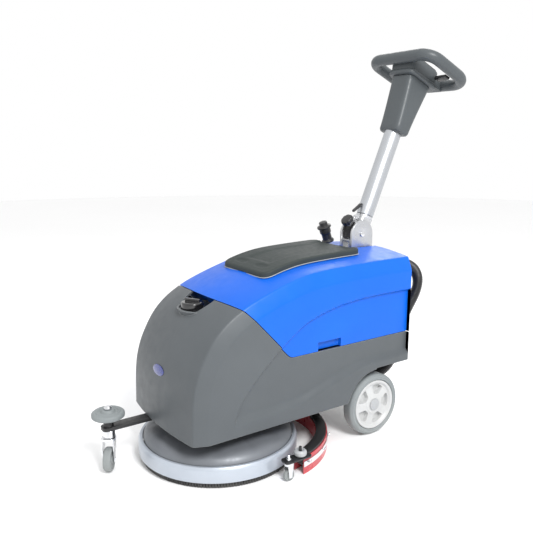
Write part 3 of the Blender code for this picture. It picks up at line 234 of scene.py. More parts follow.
def head_grey():
    return finish("head_grey", (0.062, 0.070, 0.075), 0.38, specular=0.35, grain=800, depth=0.00008,
                  mottle=0.05, edge=0.25)


def cap_grey():
    return finish("cap_grey", (0.33, 0.34, 0.35), 0.42, grain=700, mottle=0.05, dust=0.2)


def badge_blue():
    """Domed resin over a dark blue print: a clear hard coat does the shine."""
    return finish("badge_blue", (0.002, 0.015, 0.18), 0.20, grain=300, depth=0.00002, mottle=0.1, coat=1.0,
                  edge=0.7)


# %% Black plastics and rubber
def black_plastic():
    return finish("black_plastic", (0.014, 0.014, 0.015), 0.36, grain=900, mottle=0.15, edge=0.06)


def cap_black():
    """Polished black moulding of the filler cap."""
    return finish("cap_black", (0.008, 0.008, 0.009), 0.16, grain=500, depth=0.00002, mottle=0.1,
                  edge=0.05, coat=0.6)


def painted_black():
    """Powder coat on steel: fine pebbles and a half gloss."""
    return finish("painted_black", (0.016, 0.016, 0.017), 0.40, grain=1300, depth=0.00018, mottle=0.12,
                  edge=0.10)


def seal_rubber():
    return finish("seal_rubber", (0.02, 0.02, 0.02), 0.72, grain=1100, mottle=0.2, edge=0.1)


def bristle_black():
    """Nylon filament: fine streaks along the tuft."""
    return finish("bristle_black", (0.012, 0.012, 0.013), 0.50, grain=900, mottle=0.3, stretch=(1, 1, 0.12),
                  edge=0.1, dust=0.12)


def tyre_grey():
    """Non-marking rubber, scuffed and a little dusty near the floor."""
    return finish("tyre_grey", (0.20, 0.22, 0.225), 0.60, grain=800, depth=0.00016, mottle=0.08, edge=0.25,
                  dust=0.35)


def squeegee_red():
    """Red polyurethane blade, wiped shiny."""
    return finish("squeegee_red", (0.42, 0.016, 0.030), 0.30, grain=500, depth=0.00006, mottle=0.12, coat=0.2,
                  edge=0.2, dust=0.15)


def rim_white():
    return finish("rim_white", (0.459, 0.465, 0.465), 0.38, grain=500, mottle=0.03, edge=0.15, dust=0.25)


def battery_grey():
    return finish("battery_grey", (0.06, 0.06, 0.065), 0.5, grain=600, mottle=0.1)


# %% Painted and bright metal
def band_silver():
    """Silver lacquer on the deck's band."""
    return finish("band_silver", (0.40, 0.44, 0.50), 0.34, metallic=0.35, grain=1500, mottle=0.06, coat=0.3,
                  depth=0.00005, edge=0.4, dust=0.15)


def dome_grey():
    return finish("dome_grey", (0.135, 0.145, 0.16), 0.42, metallic=0.2, grain=1200, mottle=0.08, edge=0.3)


def pole_silver():
    """Anodised tube, drawn along its length: the noise is stretched along the pole."""
    return finish("pole_silver", (0.446, 0.461, 0.482), 0.33, metallic=0.75, grain=1400,
                  stretch=(1, 0.25, 0.1),
                  mottle=0.04, depth=0.00004, edge=0.3)


def cast_silver():
    """Die-cast zinc with a tumbled skin."""
    return finish("cast_silver", (0.528, 0.536, 0.552), 0.30, metallic=0.85, grain=700, mottle=0.07,
                  depth=0.00015,
                  edge=0.5)


def chrome():
    return finish("chrome", (0.72, 0.73, 0.75), 0.14, metallic=1.0, grain=500, mottle=0.05, depth=0.00003,
                  edge=0.3)


def pale_floor():
    return finish("pale_floor", (0.95, 0.95, 0.95), 0.62, grain=60, patch=0.6, mottle=0.008, depth=0.0001,
                  edge=0.0)


MAKERS = (grey_moulding, blue_moulding, lid_grey, head_grey, cap_grey, badge_blue, black_plastic, cap_black,
          painted_black, seal_rubber, bristle_black, tyre_grey, squeegee_red, rim_white, battery_grey,
          band_silver,
          dome_grey, pole_silver, cast_silver, chrome)
FINISH = {}
for old in list(bpy.data.materials):
    old.name = old.name + ".plain"
for maker in MAKERS:
    FINISH[maker.__name__] = maker()
for node in frame["nodes"].values():
    for place in node.material_slots:
        place.material = FINISH[place.material.name.split(".")[0]]
studio_floor.data.materials.append(pale_floor())
print(len(FINISH), "finishes:", ", ".join(FINISH))

# %% [markdown]
# ## Shaping tools
# A draughtsman's outline has sharp corners, a moulded part has none. `softened` rounds the corners of an
# outline with short arcs, `turned` spins one round an axis as a lathe does, `plate` gives one a thickness,
# and `keep` files the finished piece under the body it moves with. `refined` takes a CAD solid that already
# has the right shape and only breaks its edges, the way a real casting comes out of its tool.

# %% Shaping tools
def softened(points, radius, steps=3, closed=True):
    """The outline with each corner replaced by a short curve that starts radius before it."""
    points = [Vector(p) for p in points]
    out = []
    for i, corner in enumerate(points):
        if not closed and i in (0, len(points) - 1):
            out.append(corner)
            continue
        before, after = points[i - 1], points[(i + 1) % len(points)]
        start = corner + (before - corner).normalized() * min(radius, (before - corner).length * 0.45)
        end = corner + (after - corner).normalized() * min(radius, (after - corner).length * 0.45)
        for k in range(steps + 1):
            t = k / steps
            out.append(start * (1 - t) ** 2 + corner * 2 * t * (1 - t) + end * t * t)
    return out


def mesh_object(name, shape, material, split=32):
    """A finished object at the origin, smooth except over edges sharper than split degrees."""
    bmesh.ops.remove_doubles(shape, verts=shape.verts, dist=1e-6)
    bmesh.ops.recalc_face_normals(shape, faces=shape.faces)
    mesh = bpy.data.meshes.new(name)
    shape.to_mesh(mesh)
    shape.free()
    mesh.shade_smooth()
    mesh.set_sharp_from_angle(angle=radians(split))
    mesh.materials.append(FINISH[material])
    made = bpy.data.objects.new(name, mesh)
    bpy.context.scene.collection.objects.link(made)
    return made


def grid_faces(shape, rings, closed_ring=True, closed_path=False):
    """Skins a list of rings of bmesh vertices."""
    pairs = list(zip(rings, rings[1:])) + ([(rings[-1], rings[0])] if closed_path else [])
    for one, two in pairs:
        last = len(one) if closed_ring else len(one) - 1
        for i in range(last):
            j = (i + 1) % len(one)
            corners = []
            for vertex in (one[i], one[j], two[j], two[i]):
                if vertex not in corners:
                    corners.append(vertex)
            if len(corners) > 2:
                shape.faces.new(corners)


def turned(profile, steps, place=Matrix(), closed=True, wave=None):
    """Spins a profile of (radius, height) points. wave(angle, radius, height) may lift a point."""
    shape = bmesh.new()
    rings = []
    for k in range(steps):
        angle = 2 * pi * k / steps
        ring = []
        for radius, height in profile:
            lift = wave(angle, radius, height) if wave else 0
            point = Vector((radius * cos(angle), radius * sin(angle), height + lift))
            ring.append(shape.verts.new(place @ point))
        rings.append(ring)
    grid_faces(shape, rings, closed_ring=closed, closed_path=True)
    bmesh.ops.remove_doubles(shape, verts=shape.verts, dist=1e-6)
    return shape


def lying(x, y, z, side=1):
    """A place whose turning axis runs along X, outwards on the given side."""
    return Matrix.Translation((x, y, z)) @ Matrix.Rotation(side * pi / 2, 4, "Y")


def plate(outline, low, high, along="Z", place=Matrix()):
    """A flat piece: its outline, given a thickness from low to high along one axis."""
    order = {"X": lambda a, b, h: (h, a, b), "Y": lambda a, b, h: (a, h, b), "Z": lambda a, b,
             h: (a, b, h)}[along]
    shape = bmesh.new()
    rings = [[shape.verts.new(place @ Vector(order(p[0], p[1], h))) for p in outline] for h in (low, high)]
    grid_faces(shape, rings)
    for ring in rings:
        shape.faces.new(ring)
    bmesh.ops.recalc_face_normals(shape, faces=shape.faces)
    return shape


def joined(*shapes):
    """Several bmeshes as one."""
    whole = shapes[0]
    for other in shapes[1:]:
        mesh = bpy.data.meshes.new("joining")
        other.to_mesh(mesh)
        other.free()
        whole.from_mesh(mesh)
        bpy.data.meshes.remove(mesh)
    return whole


def settled(made):
    """The object with its modifiers worked into its mesh."""
    graph = bpy.context.evaluated_depsgraph_get()
    mesh = bpy.data.meshes.new_from_object(made.evaluated_get(graph))
    made.modifiers.clear()
    made.data = mesh
    return made


def cut(made, tool, operation="DIFFERENCE"):
    """A Boolean with a throwaway tool."""
    change = made.modifiers.new("cut", "BOOLEAN")
    change.operation = operation
    change.solver = "MANIFOLD"
    change.object = tool
    settled(made)
    bpy.data.objects.remove(tool, do_unlink=True)
    return made


def tool_object(shape):
    """A Boolean's tool from a bmesh."""
    bmesh.ops.remove_doubles(shape, verts=shape.verts, dist=1e-6)
    bmesh.ops.recalc_face_normals(shape, faces=shape.faces)
    mesh = bpy.data.meshes.new("tool")
    shape.to_mesh(mesh)
    shape.free()
    made = bpy.data.objects.new("tool", mesh)
    bpy.context.scene.collection.objects.link(made)
    return made


def edged(made, width, steps=2, limit=30):
    """Breaks every edge sharper than limit degrees with a small round."""
    bevel = made.modifiers.new("edges", "BEVEL")
    bevel.width = width
    bevel.segments = steps
    bevel.limit_method = "ANGLE"
    bevel.angle_limit = radians(limit)
    bevel.use_clamp_overlap = True
    settled(made)
    made.data.shade_smooth()
    made.data.set_sharp_from_angle(angle=radians(40))
    return made


def keep(made, body, slot, *nodes):
    """Moves the piece from the brush's axis to its place in the frame, and files it."""
    made.data.transform(HOME)
    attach(made, body)
    if nodes:
        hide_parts(*nodes)
    print(f"{made.name}: {len(made.data.polygons)} faces on {body}")
    return made


def refined(node, body, slot, width, steps=2, name=None, material=None):
    """A copy of a CAD node, merged and with its edges broken, in the node's place."""
    shape = bmesh.new()
    shape.from_mesh(frame["nodes"][node].data)
    bmesh.ops.transform(shape, matrix=HOME.inverted(), verts=shape.verts)
    bmesh.ops.remove_doubles(shape, verts=shape.verts, dist=2e-5)
    bmesh.ops.dissolve_limit(shape, angle_limit=radians(1.0), verts=shape.verts, edges=shape.edges)
    made = mesh_object(name or node + "_finished", shape, material or slot)
    return keep(edged(made, width, steps), body, slot, node)

# %% [markdown]
# ## The vacuum hose
# A ribbed suction hose leaves the tank's inlet at the back, hangs down behind the body, passes under the
# axle and plugs into the squeegee's elbow. Its line is a smooth curve through given points.
# Geometry Nodes sweep a round section along it whose radius swells and shrinks once per rib, which is
# exactly how such a hose is wound.

# %% Geometry Nodes helpers
def node_tree(name, *numbers):
    """An empty tree with a geometry input, the named number inputs and a geometry output."""
    tree = bpy.data.node_groups.new(name, "GeometryNodeTree")
    tree.interface.new_socket("Geometry", in_out="INPUT", socket_type="NodeSocketGeometry")
    for label in numbers:
        kind = "NodeSocketInt" if label == "Count" else "NodeSocketFloat"
        tree.interface.new_socket(label, in_out="INPUT", socket_type=kind)
    tree.interface.new_socket("Geometry", in_out="OUTPUT", socket_type="NodeSocketGeometry")
    start = tree.nodes.new("NodeGroupInput")
    return tree, start


def put(tree, kind, inputs, family="GeometryNode", **settings):
    """A new geometry node with its settings, and its inputs as numbers or as links."""
    node = tree.nodes.new(family + kind)
    for key, value in settings.items():
        setattr(node, key, value)
    for key, value in inputs.items():
        if isinstance(value, bpy.types.NodeSocket):
            tree.links.new(value, node.inputs[key])
        else:
            node.inputs[key].default_value = value
    return node


def close_tree(tree, geometry, material):
    """Ends the tree: real instances, smooth faces, one material."""
    real = put(tree, "RealizeInstances", {"Geometry": geometry}).outputs[0]
    painted = put(tree, "SetMaterial", {"Geometry": real, "Material": FINISH[material]}).outputs[0]
    end = tree.nodes.new("NodeGroupOutput")
    tree.links.new(painted, end.inputs[0])
    return tree


def grown(name, source, tree, material, split=40, **numbers):
    """Runs a tree on an object and keeps the result as a plain mesh of its own."""
    runner = source.modifiers.new("growing", "NODES")
    runner.node_group = tree
    for item in tree.interface.items_tree:
        if item.item_type == "SOCKET" and item.in_out == "INPUT" and item.name in numbers:
            runner[item.identifier] = numbers[item.name]
    mesh = bpy.data.meshes.new_from_object(source.evaluated_get(bpy.context.evaluated_depsgraph_get()))
    bpy.data.objects.remove(source, do_unlink=True)
    mesh.name = name
    mesh.materials.clear()
    mesh.materials.append(FINISH[material])
    mesh.shade_smooth()
    mesh.set_sharp_from_angle(angle=radians(split))
    made = bpy.data.objects.new(name, mesh)
    bpy.context.scene.collection.objects.link(made)
    return made


def line_object(points, closed=False):
    """A poly curve through the points."""
    data = bpy.data.curves.new("line", "CURVE")
    data.dimensions = "3D"
    spline = data.splines.new("POLY")
    spline.points.add(len(points) - 1)
    for point, place in zip(spline.points, points):
        point.co = (*place, 1)
    spline.use_cyclic_u = closed
    made = bpy.data.objects.new("line", data)
    bpy.context.scene.collection.objects.link(made)
    return made


def cloud_object(points):
    """Bare points, for instances to stand on."""
    mesh = bpy.data.meshes.new("cloud")
    mesh.from_pydata([tuple(p) for p in points], [], [])
    made = bpy.data.objects.new("cloud", mesh)
    bpy.context.scene.collection.objects.link(made)
    return made


def smooth_line(route, between):
    """Points on a Catmull-Rom curve through the route, with some between each two of its own."""
    points = [Vector(p) for p in route]
    points = [2 * points[0] - points[1]] + points + [2 * points[-1] - points[-2]]
    line = []
    for a, b, c, d in zip(points, points[1:], points[2:], points[3:]):
        for k in range(between):
            t = k / between
            line.append(0.5 * ((2 * b) + (c - a) * t + (2 * a - 5 * b + 4 * c - d) * t ** 2
                               + (3 * b - a - 3 * c + d) * t ** 3))
    return line + [points[-2]]


# %% The hose
HOSE_R = 0.0175
RIB_PITCH = 0.0052
HOSE_ROUTE = [(.100, .590, .520), (.100, .620, .519), (.100, .650, .515), (.100, .683, .505),
              (.100, .712, .486), (.100, .729, .459), (.100, .731, .430), (.100, .720, .402),
              (.100, .703, .377), (.100, .684, .350), (.100, .666, .318), (.100, .650, .283),
              (.100, .638, .247), (.100, .628, .211), (.098, .614, .180), (.093, .592, .157),
              (.084, .563, .144), (.070, .530, .138), (.053, .497, .135), (.035, .463, .131),
              (.019, .434, .121), (.007, .412, .107), (.001, .393, .097), (.000, .376, .095)]


def ribbed_tube_tree():
    """Sweeps a circle along the line, its radius a wave of the given pitch between thin and thick."""
    tree, start = node_tree("ribbed_tube", "Pitch", "Thin", "Thick")
    step = put(tree, "Math", {0: start.outputs["Pitch"], 1: 7.0}, "ShaderNode", operation="DIVIDE").outputs[0]
    fine = put(tree, "ResampleCurve", {"Curve": start.outputs[0], "Length": step}, mode="LENGTH").outputs[0]
    along = put(tree, "SplineParameter", {}).outputs["Length"]
    turns = put(tree, "Math", {0: along, 1: start.outputs["Pitch"]}, "ShaderNode",
                operation="DIVIDE").outputs[0]
    angle = put(tree, "Math", {0: turns, 1: 2 * pi}, "ShaderNode", operation="MULTIPLY").outputs[0]
    wave = put(tree, "Math", {0: angle}, "ShaderNode", operation="SINE").outputs[0]
    radius = put(tree, "MapRange", {"Value": wave, "From Min": -1.0, "From Max": 0.8,
                                    "To Min": start.outputs["Thin"], "To Max": start.outputs["Thick"]},
                 "ShaderNode").outputs[0]
    ring = put(tree, "CurvePrimitiveCircle", {"Resolution": 22, "Radius": 1.0}).outputs[0]
    tube = put(tree, "CurveToMesh", {"Curve": fine, "Profile Curve": ring, "Scale": radius,
                                     "Fill Caps": True}).outputs[0]
    return close_tree(tree, tube, "black_plastic")


def suction_hose():
    line = smooth_line(HOSE_ROUTE, 6)
    made = grown("suction_hose", line_object(line), ribbed_tube_tree(), "black_plastic", split=75,
                 Pitch=RIB_PITCH, Thin=HOSE_R - 0.0022, Thick=HOSE_R)
    made.data.transform(HOME)
    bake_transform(made)
    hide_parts("vacuum_hose")


suction_hose()

# %% [markdown]
# ## The two moulded tanks
# Housing and recovery tank are one streamlined body, cut by a joint that drops from the nose and then runs
# level. So the outer skin is made once: a side outline is carried across the width, bows out in the middle,
# and turns down over a long bevel into the flat side. On the side, each column of points runs straight
# down, so that the long recess there can be pressed in by moving points. Then the joint, the hollow and the
# pockets are cut.

# %% Outline of the body
BODY_HALF = own_box("recovery_tank")[1].x
BODY_REAR = own_box("recovery_tank")[1].y
BODY_LOW = own_box("lower_housing")[0].z
TAIL_LOW = 0.221
WHEEL_Y, WHEEL_Z = 0.453, 0.0985
ARCH_R = 0.118
BEVEL_WIDE = 0.017
BEVEL_DEEP = 0.040
CROWN = 0.016
NOSE = [(-0.182, 0.131), (-0.178, 0.241), (-0.167, 0.302), (-0.146, 0.354), (-0.113, 0.407), (-0.072, 0.446),
        (-0.024, 0.475), (0.025, 0.496), (0.097, 0.520), (0.165, 0.538), (0.235, 0.548), (0.350, 0.553),
        (0.460, 0.555), (0.560, 0.555)]


def flat_line(route, spacing):
    """A smooth line through (y, z) points, resampled to even spacing, as an array."""
    fine = np.array([tuple(p)[:2] for p in smooth_line([(y, z, 0) for y, z in route], 24)])
    walked = np.concatenate([[0], np.cumsum(np.hypot(*np.diff(fine, axis=0).T))])
    places = np.linspace(0, walked[-1], int(walked[-1] / spacing) + 1)
    return np.stack([np.interp(places, walked, fine[:, k]) for k in (0, 1)], axis=1)


def outward(line):
    """Unit normals of a (y, z) line, upwards and forwards."""
    run = np.gradient(line, axis=0)
    run /= np.hypot(run[:, 0], run[:, 1])[:, None]
    return np.stack([-run[:, 1], run[:, 0]], axis=1)


def underside(y):
    """Bottom edge: low in front, then the wheel arch, then the raised tail."""
    arch = WHEEL_Z + np.sqrt(np.maximum(0, ARCH_R ** 2 - (np.minimum(y, WHEEL_Y) - WHEEL_Y) ** 2))
    return np.where(y > WHEEL_Y, TAIL_LOW, np.minimum(np.maximum(arch, BODY_LOW), TAIL_LOW))


# %% The pressed recess in each side
RECESS_TOP = [(-0.090, 0.090), (-0.064, 0.172), (-0.047, 0.214), (-0.009, 0.263), (0.043, 0.314),
              (0.099, 0.361),
              (0.168, 0.407), (0.222, 0.427), (0.277, 0.441), (0.334, 0.450), (0.420, 0.456), (0.560, 0.457)]
RECESS_FOOT = [(-0.100, 0.166), (-0.032, 0.164), (0.067, 0.167), (0.118, 0.172), (0.172, 0.178),
               (0.265, 0.204),
               (0.382, 0.235), (0.444, 0.241), (0.560, 0.242)]
RECESS_SHELF = [(-0.100, 0.199), (-0.016, 0.199), (0.084, 0.196), (0.154, 0.200), (0.219, 0.221),
                (0.283, 0.241),
                (0.341, 0.256), (0.402, 0.264), (0.560, 0.265)]
RECESS_DEEP = 0.0125
RECESS_EDGE = 0.010


def eased(share):
    share = np.clip(share, 0, 1)
    return share * share * (3 - 2 * share)


RECESS_LINES = [flat_line(route, 0.004) for route in (RECESS_TOP, RECESS_FOOT, RECESS_SHELF)]


def recess(y, z):
    """How far the side is pressed in at each (y, z)."""
    top, foot, shelf = RECESS_LINES
    roof = np.interp(y, top[:, 0], top[:, 1])
    slope = np.interp(y, top[:, 0], np.gradient(top[:, 1], top[:, 0]))
    under_roof = (roof - z) / np.sqrt(1 + slope ** 2)
    low = np.interp(y, foot[:, 0], foot[:, 1])
    high = np.interp(y, shelf[:, 0], shelf[:, 1])
    return RECESS_DEEP * np.minimum(eased(under_roof / RECESS_EDGE),
                                    np.clip(1.5 * (z - low) / (high - low), 0, 1))


# %% The skin of the body
def cross_profile(half, inset):
    """How far out (x) and how far off the outline (grow) the skin runs, from the middle to the flat side."""
    inner = half - BEVEL_WIDE
    points = [(inner * k / 14, CROWN * (1 - (k / 14) ** 2) - inset) for k in range(14)]
    slope = [(inner, -inset), (half, -BEVEL_DEEP - inset), (half, -BEVEL_DEEP - inset - 0.010)]
    bend = softened([(*points[-1], 0), *[(*p, 0) for p in slope]], 0.005, 4, closed=False)
    return points + [(p.x, p.y) for p in bend[1:]]


def body_skin(inset=0.0, side_inset=0.0, spacing=0.0032, rows=88, drop=0.0, pressed=True):
    """The closed body as a bmesh: skin, two sides with their recess, the flat back and the underside."""
    line = flat_line(NOSE, spacing)
    normals = outward(line)
    half = BODY_HALF - side_inset
    profile = cross_profile(half, inset)
    across = [(-x, grow) for x, grow in reversed(profile)] + profile[1:]
    tops = []
    for x, grow in across:
        ring = line + normals * grow
        ring[:, 1] = np.maximum(ring[:, 1], BODY_LOW)
        ring[0, 1] = BODY_LOW
        ring[:, 0] = np.minimum(ring[:, 0], BODY_REAR - side_inset)
        ring[-1, 0] = BODY_REAR - side_inset
        tops.append(ring)
    shape = bmesh.new()
    levels = []
    for (x, _), ring in zip(across, tops):
        foot = np.minimum(underside(ring[:, 0]), ring[:, 1]) - drop
        steps = np.linspace(0, 1, rows + 1)
        columns = ring[:, 1][:, None] * (1 - steps) + foot[:, None] * steps
        ys = np.repeat(ring[:, :1], rows + 1, axis=1)
        outermost = pressed and abs(abs(x) - half) < 1e-9 and len(levels) in (0, len(across) - 1)
        xs = x - np.sign(x) * recess(ys, columns) if outermost else np.full_like(columns, x)
        levels.append((xs, ys, columns))
    grids = {}

    def vertex(j, i, r):
        if (j, i, r) not in grids:
            grids[(j, i, r)] = shape.verts.new([float(values[i, r]) for values in levels[j]])
        return grids[(j, i, r)]

    last_i, last_j = len(line) - 1, len(levels) - 1

    def face(*places):
        corners = [vertex(*place) for place in places]
        shape.faces.new(corners)

    for j in range(last_j):
        for i in range(last_i):
            face((j, i, 0), (j + 1, i, 0), (j + 1, i + 1, 0), (j, i + 1, 0))
            face((j, i, rows), (j, i + 1, rows), (j + 1, i + 1, rows), (j + 1, i, rows))
        for r in range(rows):
            face((j, last_i, r), (j + 1, last_i, r), (j + 1, last_i, r + 1), (j, last_i, r + 1))
            face((j, 0, r), (j, 0, r + 1), (j + 1, 0, r + 1), (j + 1, 0, r))
    for i in range(last_i):
        for r in range(rows):
            face((0, i, r), (0, i, r + 1), (0, i + 1, r + 1), (0, i + 1, r))
            face((last_j, i, r), (last_j, i + 1, r), (last_j, i + 1, r + 1), (last_j, i, r + 1))
    return shape


# %% The joint between the tanks, and the cutters
JOINT_GAP = 0.0022
SEAM_FRONT = (-0.026, 0.476)
SEAM_SLOPE = (0.128, 0.3145)
SEAM_LEVEL = own_box("recovery_tank")[0].z - 0.001
WALL = 0.006


def above_joint(lift):
    """Everything above the joint, moved up by lift: over the nose, down the slope, then level."""
    run = Vector((SEAM_SLOPE[0] - SEAM_FRONT[0], SEAM_LEVEL - SEAM_FRONT[1]))
    normal = Vector((-run.y, run.x)).normalized() * lift
    ahead = Vector((-0.30, SEAM_FRONT[1] + (SEAM_FRONT[0] + 0.30) * 0.3))
    route = [ahead + Vector((0, lift)), Vector(SEAM_FRONT) + normal,
             Vector((SEAM_SLOPE[0], SEAM_LEVEL)) + normal,
             Vector((0.70, SEAM_LEVEL + lift))]
    bend = softened([(*p, 0) for p in route], 0.014, 5, closed=False)
    outline = [(p.x, p.y) for p in bend] + [(0.70, 0.75), (-0.30, 0.75)]
    return tool_object(plate(outline, -0.35, 0.35, "X"))


def slab_tool(low, high):
    """A box-shaped cutter between two corners."""
    outline = [(low[0], low[1]), (high[0], low[1]), (high[0], high[1]), (low[0], high[1])]
    rounded = softened([(*p, 0) for p in outline], 0.006, 4)
    return tool_object(plate([(p.x, p.y) for p in rounded], low[2], high[2]))


# %% Recovery tank
NOTCH_HALF, NOTCH_FRONT = 0.036, 0.462
MOUTH_HALF, MOUTH_FRONT, MOUTH_BACK = 0.085, 0.135, 0.415
GRIP_FRONT, GRIP_BACK, GRIP_TOP, GRIP_DEEP = 0.227, 0.314, 0.341, 0.027


def hollow(above=None):
    """The space inside the walls; for the tank, only what lies above its floor."""
    inside = tool_object(body_skin(WALL, WALL + RECESS_DEEP, 0.012, 12, 0.0 if above is not None else 0.03,
                                   False))
    if above is not None:
        cut(inside, above_joint(above), "INTERSECT")
        cut(inside, slab_tool((-NOTCH_HALF - WALL, NOTCH_FRONT - WALL, 0.2), (NOTCH_HALF + WALL, 0.60, 0.62)))
        for side in (-1, 1):
            ends = sorted((side * (BODY_HALF - GRIP_DEEP - WALL), side * 0.23))
            cut(inside, slab_tool((ends[0], GRIP_FRONT - WALL, 0.2),
                                  (ends[1], GRIP_BACK + WALL, GRIP_TOP + WALL)))
    return inside


def recovery_tank():
    made = mesh_object("recovery_tank_shell", body_skin(), "blue_moulding")
    cut(made, above_joint(JOINT_GAP / 2), "INTERSECT")
    cut(made, hollow(WALL))
    cut(made, slab_tool((-NOTCH_HALF, NOTCH_FRONT, 0.2), (NOTCH_HALF, 0.60, 0.62)))
    cut(made, slab_tool((-MOUTH_HALF, MOUTH_FRONT, 0.50), (MOUTH_HALF, MOUTH_BACK, 0.65)))
    for side in (-1, 1):
        ends = sorted((side * (BODY_HALF - GRIP_DEEP), side * 0.23))
        cut(made, slab_tool((ends[0], GRIP_FRONT, 0.25), (ends[1], GRIP_BACK, GRIP_TOP)))
    made.data.shade_smooth()
    made.data.set_sharp_from_angle(angle=radians(34))
    return keep(made, "recovery_tank", "blue_moulding", "recovery_tank")


recovery_tank()

# %% Lower housing with the filler's boss
BOSS_Y = -0.046
BOSS_R = 0.072
BOSS_TOP = 0.446
BOSS_FOOT = 0.330


def boss_tool():
    profile = [(0, BOSS_FOOT), (0.014, BOSS_FOOT), (BOSS_R - 0.002, BOSS_TOP - 0.002),
               (BOSS_R, BOSS_TOP + 0.002),
               (BOSS_R - 0.0015, BOSS_TOP + 0.004), (0, BOSS_TOP + 0.004)]
    return tool_object(turned(profile, 96, Matrix.Translation((0, BOSS_Y, 0))))


def lower_housing():
    made = mesh_object("lower_housing_shell", body_skin(), "grey_moulding")
    cut(made, hollow())
    cut(made, boss_tool(), "UNION")
    cut(made, above_joint(-JOINT_GAP / 2))
    pocket = turned([(0, BOSS_TOP - 0.0008), (BOSS_R - 0.007, BOSS_TOP - 0.0008), (BOSS_R - 0.005, 0.50),
                     (0, 0.50)], 96,
                    Matrix.Translation((0, BOSS_Y, 0)))
    cut(made, tool_object(pocket))
    made.data.shade_smooth()
    made.data.set_sharp_from_angle(angle=radians(34))
    return keep(made, "machine_frame", "grey_moulding", "lower_housing")


lower_housing()

# %% [markdown]
# ## Cap, badge and lid
# The filler cap is a polished turned cap with a grip bar across it. The lid is one thin moulding that
# follows the tank's top: its edge is rolled over, a wide channel runs down its middle, and two thumb scoops
# lie at its front. It is a height field over its own outline, so each of those is a term added to the
# height.

# %% Filler cap and badge
def joint_place(name, offset=0.0):
    """A place on a joint whose Z axis is the joint's own axis."""
    joint = JOINT[name]
    axis = Vector(joint["axis"]).normalized()
    turn = Vector((0, 0, 1)).rotation_difference(axis).to_matrix().to_4x4()
    return Matrix.Translation(Vector(joint["pos_m"]) - HOME.translation + axis * offset) @ turn


def rounded_profile(points, radius, steps=3):
    """A (radius, height) profile with soft corners."""
    return [(max(p.x, 0.0), p.y) for p in softened([(*p, 0) for p in points], radius, steps)]


def filler_cap():
    low, high = own_box("filler_cap")
    middle = (low + high) / 2
    radius, top = (high.x - low.x) / 2, high.z - 0.008
    profile = rounded_profile([(0.024, low.z), (radius, low.z), (radius, top - 0.003), (radius - 0.003, top),
                               (0.012, top - 0.0008), (0.0, top - 0.0008), (0.0, top - 0.004),
                               (0.0255, top - 0.004)], 0.0018)
    cap = turned(profile, 120, Matrix.Translation((middle.x, middle.y, 0)))
    bar = plate([(p.x, p.y) for p in softened([(-0.024, -0.004, 0), (0.024, -0.004, 0), (0.024, 0.004, 0),
                                               (-0.024, 0.004, 0)], 0.0035, 4)], top - 0.002, high.z,
                place=Matrix.Translation((middle.x, middle.y, 0)) @ Matrix.Rotation(radians(30), 4, "Z"))
    made = mesh_object("filler_cap_turned", joined(cap, bar), "cap_black")
    return keep(edged(made, 0.0012, 3, 50), "filler_cap", "black_plastic", "filler_cap")


filler_cap()
refined("badge", "machine_frame", "badge_blue", 0.0007, 3)

# %% Lid
LID_HALF = own_box("tank_lid")[1].x
LID_FRONT = own_box("tank_lid")[0].y
LID_BACK = 0.455
LID_RISE, LID_THICK = 0.004, 0.010
LID_CORNER = 0.030
TOP_LINE = flat_line(NOSE, 0.004)


def tank_surface(x, y):
    """Height of the tank's top."""
    share = x / (BODY_HALF - BEVEL_WIDE)
    return float(np.interp(y, TOP_LINE[:, 0], TOP_LINE[:, 1])) + CROWN * (1 - share * share)


def lid_half(y):
    """Half width of the lid at y, with round corners."""
    near = min(y - LID_FRONT, LID_BACK - y, LID_CORNER)
    return LID_HALF - LID_CORNER + (LID_CORNER ** 2 - (LID_CORNER - near) ** 2) ** 0.5


def lid_height(x, y, half):
    """Top of the lid: rolled edge, sunk channel that runs out behind, two scoops in front."""
    inward = max(0.0, min(half - abs(x), y - LID_FRONT, LID_BACK - y))
    roll = 0.008
    drop = roll * 0.7 * (1 - (1 - (1 - min(inward / roll, 1)) ** 2) ** 0.5)
    flare = 0.02 * eased((y - 0.36) / 0.09)
    channel = 0.0040 * eased((0.064 - abs(x) + flare) / 0.010) * eased((y - LID_FRONT - 0.05) / 0.02)
    across = ((y - LID_FRONT - 0.034) / 0.012) ** 2
    scoop = sum(0.0032 * eased(1.3 - ((x - side * 0.052) / 0.030) ** 2 - across) for side in (-1, 1))
    return tank_surface(0, y) + LID_RISE + LID_THICK - drop - channel - scoop


def tank_lid():
    across, along = 56, 110
    shape = bmesh.new()
    tops, feet = [], []
    for k in range(along + 1):
        share = k / along
        spread = share - 0.07 * sin(2 * pi * share) / (2 * pi) * 2
        y = LID_FRONT + 0.0004 + (LID_BACK - LID_FRONT - 0.0008) * spread
        half = lid_half(y)
        row, under = [], []
        for i in range(across + 1):
            x = half * sin(pi / 2 * (2 * i / across - 1))
            height = lid_height(x, y, half)
            row.append(shape.verts.new((x, y, height)))
            edge = eased((half - abs(x)) / 0.010) * eased(min(y - LID_FRONT, LID_BACK - y) / 0.010)
            skirt = tank_surface(x, y) + 0.0022
            under.append(shape.verts.new((x, y,
                                          min(height - 0.0022, skirt + (height - 0.004 - skirt) * edge))))
        tops.append(row)
        feet.append(under)
    grid_faces(shape, tops, closed_ring=False)
    grid_faces(shape, feet, closed_ring=False)
    for top, foot in ((tops[0], feet[0]), (tops[-1], feet[-1]),
                      ([row[0] for row in tops], [row[0] for row in feet]),
                      ([row[-1] for row in tops], [row[-1] for row in feet])):
        grid_faces(shape, [top, foot], closed_ring=False)
    return keep(mesh_object("lid_moulding", shape, "lid_grey", 45), "tank_lid", "lid_grey", "tank_lid")


